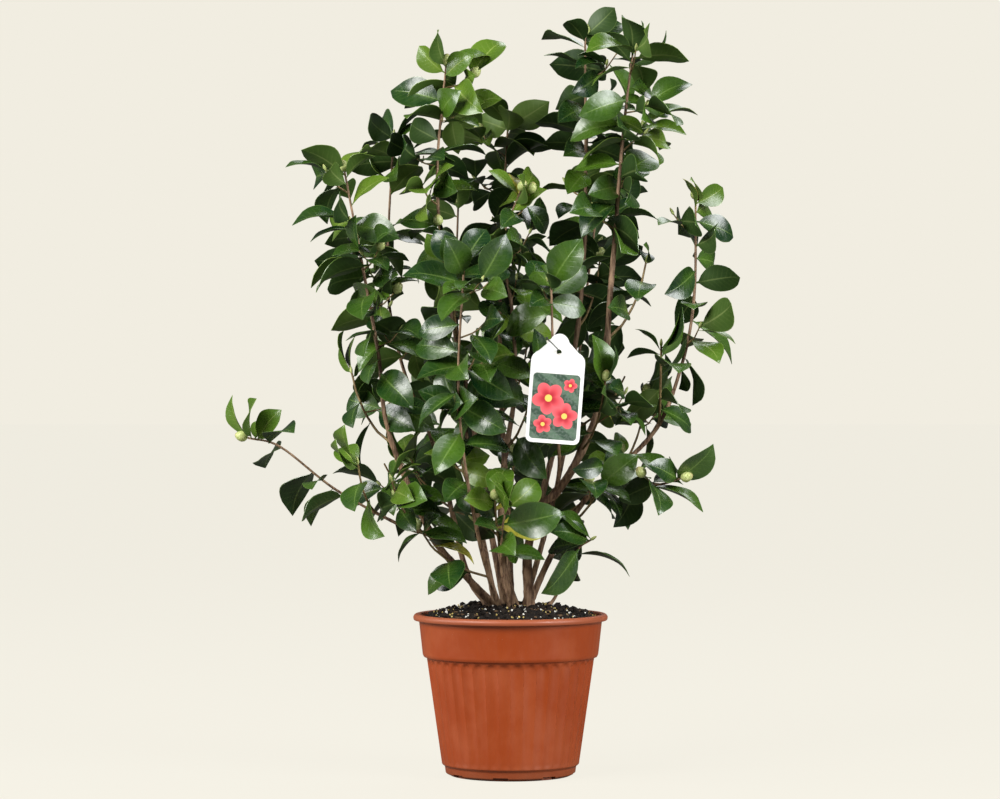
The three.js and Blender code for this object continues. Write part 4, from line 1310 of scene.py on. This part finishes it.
def flute_dip(point):
    """How far a point of the body sinks into its flute: an arched channel that fades downwards."""
    radius = math.hypot(point.x, point.y) / MM
    height = point.z / MM
    share = (height - FOOT_HEIGHT) / (FLUTE_TOP - FOOT_HEIGHT)
    if not 0.02 < share <= 1 or radius < mix(BODY_FOOT, BODY_TOP, share) - 0.5:
        return 0.0
    turn = math.atan2(point.y, point.x) / (2 * math.pi) * FLUTES % 1
    side = abs(2 * turn - 1)
    arch = min(1.0, max(0.0, (FLUTE_TOP - 1 - 8 * side**2.4 - height) / 2))
    return FLUTE_DEPTH * (1 - side**2) * arch * mix(0.3, 1, share**0.8)


def drain_cutters():
    """Blocks round the pot's foot that cut its drain slots."""
    bm = bmesh.new()
    size = Matrix.Diagonal([*(side * MM for side in DRAIN_SIZE), 1])
    block = Matrix.Translation((DRAIN_PLACE * MM, 0, 0)) @ size
    for i in range(DRAINS):
        turn = Matrix.Rotation(2 * math.pi * (i - DRAIN_TURN) / DRAINS, 4, "Z")
        bmesh.ops.create_cube(bm, size=1, matrix=turn @ block)
    return new_object("drain_cutters", mesh_from(bm, "drain_cutters"))


def pot_piece(plastic):
    """The thin shell with its flutes sunk in and its drain slots cut."""
    bm = turned_section(pot_profile(), POT_SEGMENTS)
    poles = [vert for vert in bm.verts if math.hypot(vert.co.x, vert.co.y) < AXIS_GAP * MM]
    bmesh.ops.remove_doubles(bm, verts=poles, dist=AXIS_GAP * MM)
    for vert in bm.verts:
        dip = flute_dip(vert.co) * MM
        if dip:
            vert.co -= Vector((vert.co.x, vert.co.y, 0)).normalized() * dip
    bmesh.ops.recalc_face_normals(bm, faces=bm.faces)
    blank = new_object("pot_blank", mesh_from(bm, "pot_blank"))
    cutter = drain_cutters()
    slots = blank.modifiers.new("drains", "BOOLEAN")
    slots.operation = "DIFFERENCE"
    slots.solver = "MANIFOLD"
    slots.object = cutter
    mesh = smoothed(baked(blank), degrees=38)
    mesh.name = "pot_shell"
    bpy.data.objects.remove(cutter)
    piece = new_piece("pot_shell", mesh, plastic)
    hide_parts("pot")


def compost_height(x, y):
    """The compost's surface in millimetres: a low mound with clods, level with the stems' feet."""
    radius = math.hypot(x, y)
    fall = min(1.0, max(0.0, (radius - COMPOST_FLAT) / (COMPOST_EDGE - COMPOST_FLAT)))
    mound = mix(GROUND - 0.5, COMPOST_EDGE_HEIGHT, fall**1.5)
    clod = noise.fractal(Vector((x, y, 3)) * 0.085, 0.8, 2.1, 4)
    return mound + 3.4 * clod * (0.35 if radius > COMPOST_EDGE - 4 else 1)


def compost_piece(mix_material):
    """The mound of compost, closed by a flat underside."""
    shares = [i / COMPOST_RINGS for i in range(COMPOST_RINGS + 1)]
    profile = [(AXIS_GAP + share * (COMPOST_EDGE - AXIS_GAP), 0) for share in shares]
    profile += [(COMPOST_EDGE, -COMPOST_DEPTH), (AXIS_GAP, -COMPOST_DEPTH)]
    bm = turned_section(profile, COMPOST_SEGMENTS)
    bmesh.ops.holes_fill(bm, edges=bm.edges)
    bmesh.ops.recalc_face_normals(bm, faces=bm.faces)
    for vert in bm.verts:
        under = vert.co.z < -MM
        height = compost_height(vert.co.x / MM, vert.co.y / MM)
        vert.co.z = (COMPOST_EDGE_HEIGHT - COMPOST_DEPTH if under else height) * MM
    piece = new_piece("compost_bed", mesh_from(bm, "compost_bed", smooth_angle=50), mix_material)
    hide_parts("compost")


def crumb_template(seed):
    """A small irregular lump of unit size."""
    bm = bmesh.new()
    bm.loops.layers.uv.new("UVMap")
    bmesh.ops.create_icosphere(bm, subdivisions=1, radius=1)
    for vert in bm.verts:
        vert.co *= 1 + 0.45 * noise.noise(vert.co * 1.3 + Vector((seed, 0, 0)))
    return template_arrays(bm)


def crumbs_piece(materials):
    random = seeded_random(CRUMB_SEED)
    templates = [crumb_template(seed) for seed in CRUMB_SHAPES]
    copies = []
    for count, smallest, largest, flatness, lift, slot in CRUMBS:
        for i in range(count):
            radius = (COMPOST_EDGE - 5) * math.sqrt(random())
            turn = 2 * math.pi * random()
            x, y = radius * math.cos(turn), radius * math.sin(turn)
            size = mix(smallest, largest, random() ** 2)
            spin = Matrix.Rotation(6.28 * random(), 3, "Z") @ Matrix.Rotation(0.7 * (random() - 0.5), 3, "X")
            shape = spin @ Matrix.Diagonal((size, size * mix(0.4, 1, random()), size * flatness))
            template = templates[i % len(templates)]
            centre = np.array([x, y, compost_height(x, y) + size * flatness * 0.5 + lift])
            copies.append((template, (template[0] @ np.array(shape).T + centre) * MM, slot, 0.5))
    mesh = joined_mesh("compost_crumbs", copies, smooth_angle=30)
    piece = new_piece("compost_crumbs", mesh, *materials)


# ---- tag and tie

TAG_THICKNESS = 0.8
TAG_BEVEL = 0.12
TAG_SHOULDER = 37
TAG_LOBE = 11
TAG_CORNER = 9
TAG_HOLE_RADIUS = 3.6
TAG_HOLE_SIDES = 28
TIE_RADIUS = 0.7
TIE_BEND = 11
TIE_TURN = math.pi / 4
TIE_STEPS = 40
KNOT_SIZE = 1.3
KNOT_RADIUS = TIE_RADIUS * 0.8


def curved(a, b, c, steps=6):
    """Points on the curve from a to c that bends towards b, without a itself."""
    a, b, c = Vector(a), Vector(b), Vector(c)
    shares = [(i + 1) / steps for i in range(steps)]
    return [a.lerp(b, share).lerp(b.lerp(c, share), share) for share in shares]


def tag_outline():
    """Half the tag's outline from the middle of its top down to the middle of its foot."""
    half = TAG_WIDTH / 2
    top = TAG_HOLE_DROP
    bottom = top - TAG_LENGTH
    shoulder = top - TAG_SHOULDER
    bend = (half - TAG_CORNER, shoulder + 1.5 * TAG_CORNER)
    corner = (half, bottom + TAG_CORNER)
    return [
        Vector((0, top)), *curved((0, top), (TAG_LOBE - 2, top), (TAG_LOBE + 2, top - TAG_LOBE)),
        Vector(bend), *curved(bend, (half, shoulder + TAG_CORNER), (half, shoulder)),
        Vector(corner), *curved(corner, (half, bottom), (half - TAG_CORNER, bottom)),
    ]


def add_loop(curve, points):
    spline = curve.splines.new("POLY")
    spline.points.add(len(points) - 1)
    for slot, (x, y) in zip(spline.points, points):
        slot.co = (x * MM, y * MM, 0, 1)
    spline.use_cyclic_u = True


def tag_piece(print_material):
    """A flat board with a rounded lobe, sloping shoulders and a hole, hanging a little askew."""
    curve = bpy.data.curves.new("tag_card", "CURVE")
    curve.dimensions = "2D"
    curve.fill_mode = "BOTH"
    curve.bevel_depth = TAG_BEVEL * MM
    curve.bevel_resolution = 1
    curve.extrude = (TAG_THICKNESS / 2 - TAG_BEVEL) * MM
    curve.offset = -TAG_BEVEL * MM
    half = tag_outline()
    add_loop(curve, half + [Vector((-point.x, point.y)) for point in reversed(half[1:])])
    turns = [2 * math.pi * i / TAG_HOLE_SIDES for i in range(TAG_HOLE_SIDES)]
    add_loop(curve, [(TAG_HOLE_RADIUS * math.cos(turn), TAG_HOLE_RADIUS * math.sin(turn)) for turn in turns])
    mesh = baked(new_object("tag_card", curve))
    hang = Matrix.Rotation(TAG_LEAN, 4, "Y") @ Matrix.Rotation(math.pi / 2, 4, "X")
    mesh.transform(Matrix.Translation(Vector(TAG_HOLE) * MM) @ hang)
    mesh.set_sharp_from_angle(angle=math.radians(30))
    piece = new_piece("tag_card", mesh, print_material)
    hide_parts("plant_tag")


def tie_piece(cord_material):
    """A closed loop round the shoot behind the tag, with a small knot."""
    x, y, z = TAG_HOLE
    rise = 0.95 * TAG_HOLE_RADIUS - TIE_RADIUS - CLEARANCE
    middle = np.array([x - TIE_BEND * math.cos(TIE_TURN), y, z + rise + TIE_BEND * math.sin(TIE_TURN)])
    out = np.array([math.cos(TIE_TURN), 0, -math.sin(TIE_TURN)])
    side = np.array([0.0, 1.0, 0.0])
    turns = np.linspace(0, 2 * math.pi, TIE_STEPS + 1)
    ring = [middle + TIE_BEND * (out * math.cos(turn) + side * math.sin(turn)) for turn in turns]
    top = middle - out * TIE_BEND
    knot = [top + KNOT_SIZE * np.array([math.sin(3 * t), math.cos(2 * t), math.sin(2 * t)]) for t in turns]
    rods = [Rod(Line(ring), TIE_RADIUS, TIE_RADIUS), Rod(Line(knot), KNOT_RADIUS, KNOT_RADIUS)]
    piece = new_piece("tie_loop", rods_mesh("tie_loop", rods, spacing=1.2), cord_material)
    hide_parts("tag_tie")


# ---- stage, light and camera

FRAME_WIDTH = 1000
FOCAL_PIXELS = 3203
SENSOR_WIDTH = 36
CAMERA_PLACE = (-0.014, -4.27, 0.5)
BACKDROP = (0.88, 0.847, 0.753)
FLOOR_SIZE = 60
FLOOR_TINT = np.array([0.86, 0.83, 0.74])
FLOOR_DULLNESS = 0.03
FLOOR_BOUNCE = 0.22
SURROUND = 0.09
LIGHT_AIM = Vector((0, 0, 0.55))

# The lamps: place, width and height, watts and tint.
LAMPS = {
    "key": ((-2.5, -2.5, 2.7), (2.2, 2.2), 238, (1.0, 0.99, 0.96)),
    "fill": ((2.9, -2.1, 1.8), (2.0, 2.4), 200, (0.98, 0.99, 1.0)),
    "edge": ((-3.4, -0.3, 1.5), (0.9, 2.4), 78, (1.0, 1.0, 0.99)),
    "back": ((0.9, 2.6, 3.0), (2.2, 1.6), 34, (0.97, 0.99, 1.0)),
}


def floor_stage():
    """A wide pale floor that glows for the camera, so that it stays even right to the horizon."""
    paint = Material("pale_floor", Roughness=0.9, Specular_IOR_Level=0.1, Emission_Strength=1.0)
    paint.set(Base_Color=FLOOR_DULLNESS * FLOOR_TINT, Emission_Color=FLOOR_TINT)
    plain = paint.add("ShaderNodeBsdfDiffuse", {"Color": FLOOR_BOUNCE * FLOOR_TINT})[0]
    both = paint.by_camera(Outputs(paint, paint.shader)[0], plain)
    paint.put(paint.tree.nodes["Material Output"], {"Surface": both})
    bm = bmesh.new()
    bmesh.ops.create_grid(bm, x_segments=1, y_segments=1, size=FLOOR_SIZE)
    floor = new_object("floor", mesh_from(bm, "floor"))
    floor.data.materials.append(paint.material)


def studio_world():
    """A pale backdrop for the camera, and a softer, dimmer surround as light."""
    world = bpy.data.worlds.new("studio")
    world.use_nodes = True
    world.node_tree.nodes.clear()
    nodes = Nodes(world.node_tree)
    seen = nodes.add("ShaderNodeBackground", {"Color": BACKDROP, "Strength": 1.0})[0]
    lit = nodes.add("ShaderNodeBackground", {"Color": (1.0, 0.99, 0.95), "Strength": SURROUND})[0]
    nodes.add("ShaderNodeOutputWorld", {"Surface": nodes.by_camera(seen, lit)})
    bpy.context.scene.world = world


def softbox(name, place, size, watts, tint):
    light = bpy.data.lights.new(name, "AREA")
    light.shape = "RECTANGLE"
    light.size, light.size_y = size
    light.energy = watts
    light.color = tint
    lamp = new_object(name, light)
    lamp.location = place
    lamp.rotation_euler = (LIGHT_AIM - Vector(place)).to_track_quat("-Z", "Y").to_euler()
    lamp.visible_camera = False


def camera():
    lens = bpy.data.cameras.new("camera")
    lens.sensor_width = SENSOR_WIDTH
    lens.lens = FOCAL_PIXELS / FRAME_WIDTH * SENSOR_WIDTH
    viewer = new_object("camera", lens)
    viewer.location = CAMERA_PLACE
    viewer.rotation_euler = (math.pi / 2, 0, 0)
    bpy.context.scene.camera = viewer


# ---- the whole plant


def dress_plant():
    limbs = trace_limbs()
    shoots = plan_shoots(limbs)
    crown = Crown(limbs, shoots)
    growths = [Growth(shoot, crown).grow() for shoot in shoots]
    streaks = bark_streaks_group()
    stems_piece(limbs, bark_material(streaks))
    twigs_piece(growths, twig_material(streaks))
    materials = leaf_materials()
    templates = leaf_templates()
    for name, leading in (("leaves_of_tops", True), ("leaves_of_side_shoots", False)):
        chosen = [growth for growth in growths if growth.shoot.leading == leading]
        leaves_piece(name, chosen, templates, materials)
    buds_piece(growths, bud_material())


def dress_pot():
    scuffs = scuffs_group()
    pot_piece(pot_material(scuffs))
    compost_piece(compost_material())
    crumbs_piece([crumb_material(name) for name in CRUMB_COLOURS])
    tag_piece(tag_material(scuffs, blossom_group()))
    tie_piece(tie_material())


dress_plant()
dress_pot()
floor_stage()
studio_world()
for lamp_name, lamp in LAMPS.items():
    softbox(lamp_name, *lamp)
bpy.context.scene.view_settings.view_transform = "Standard"
camera()
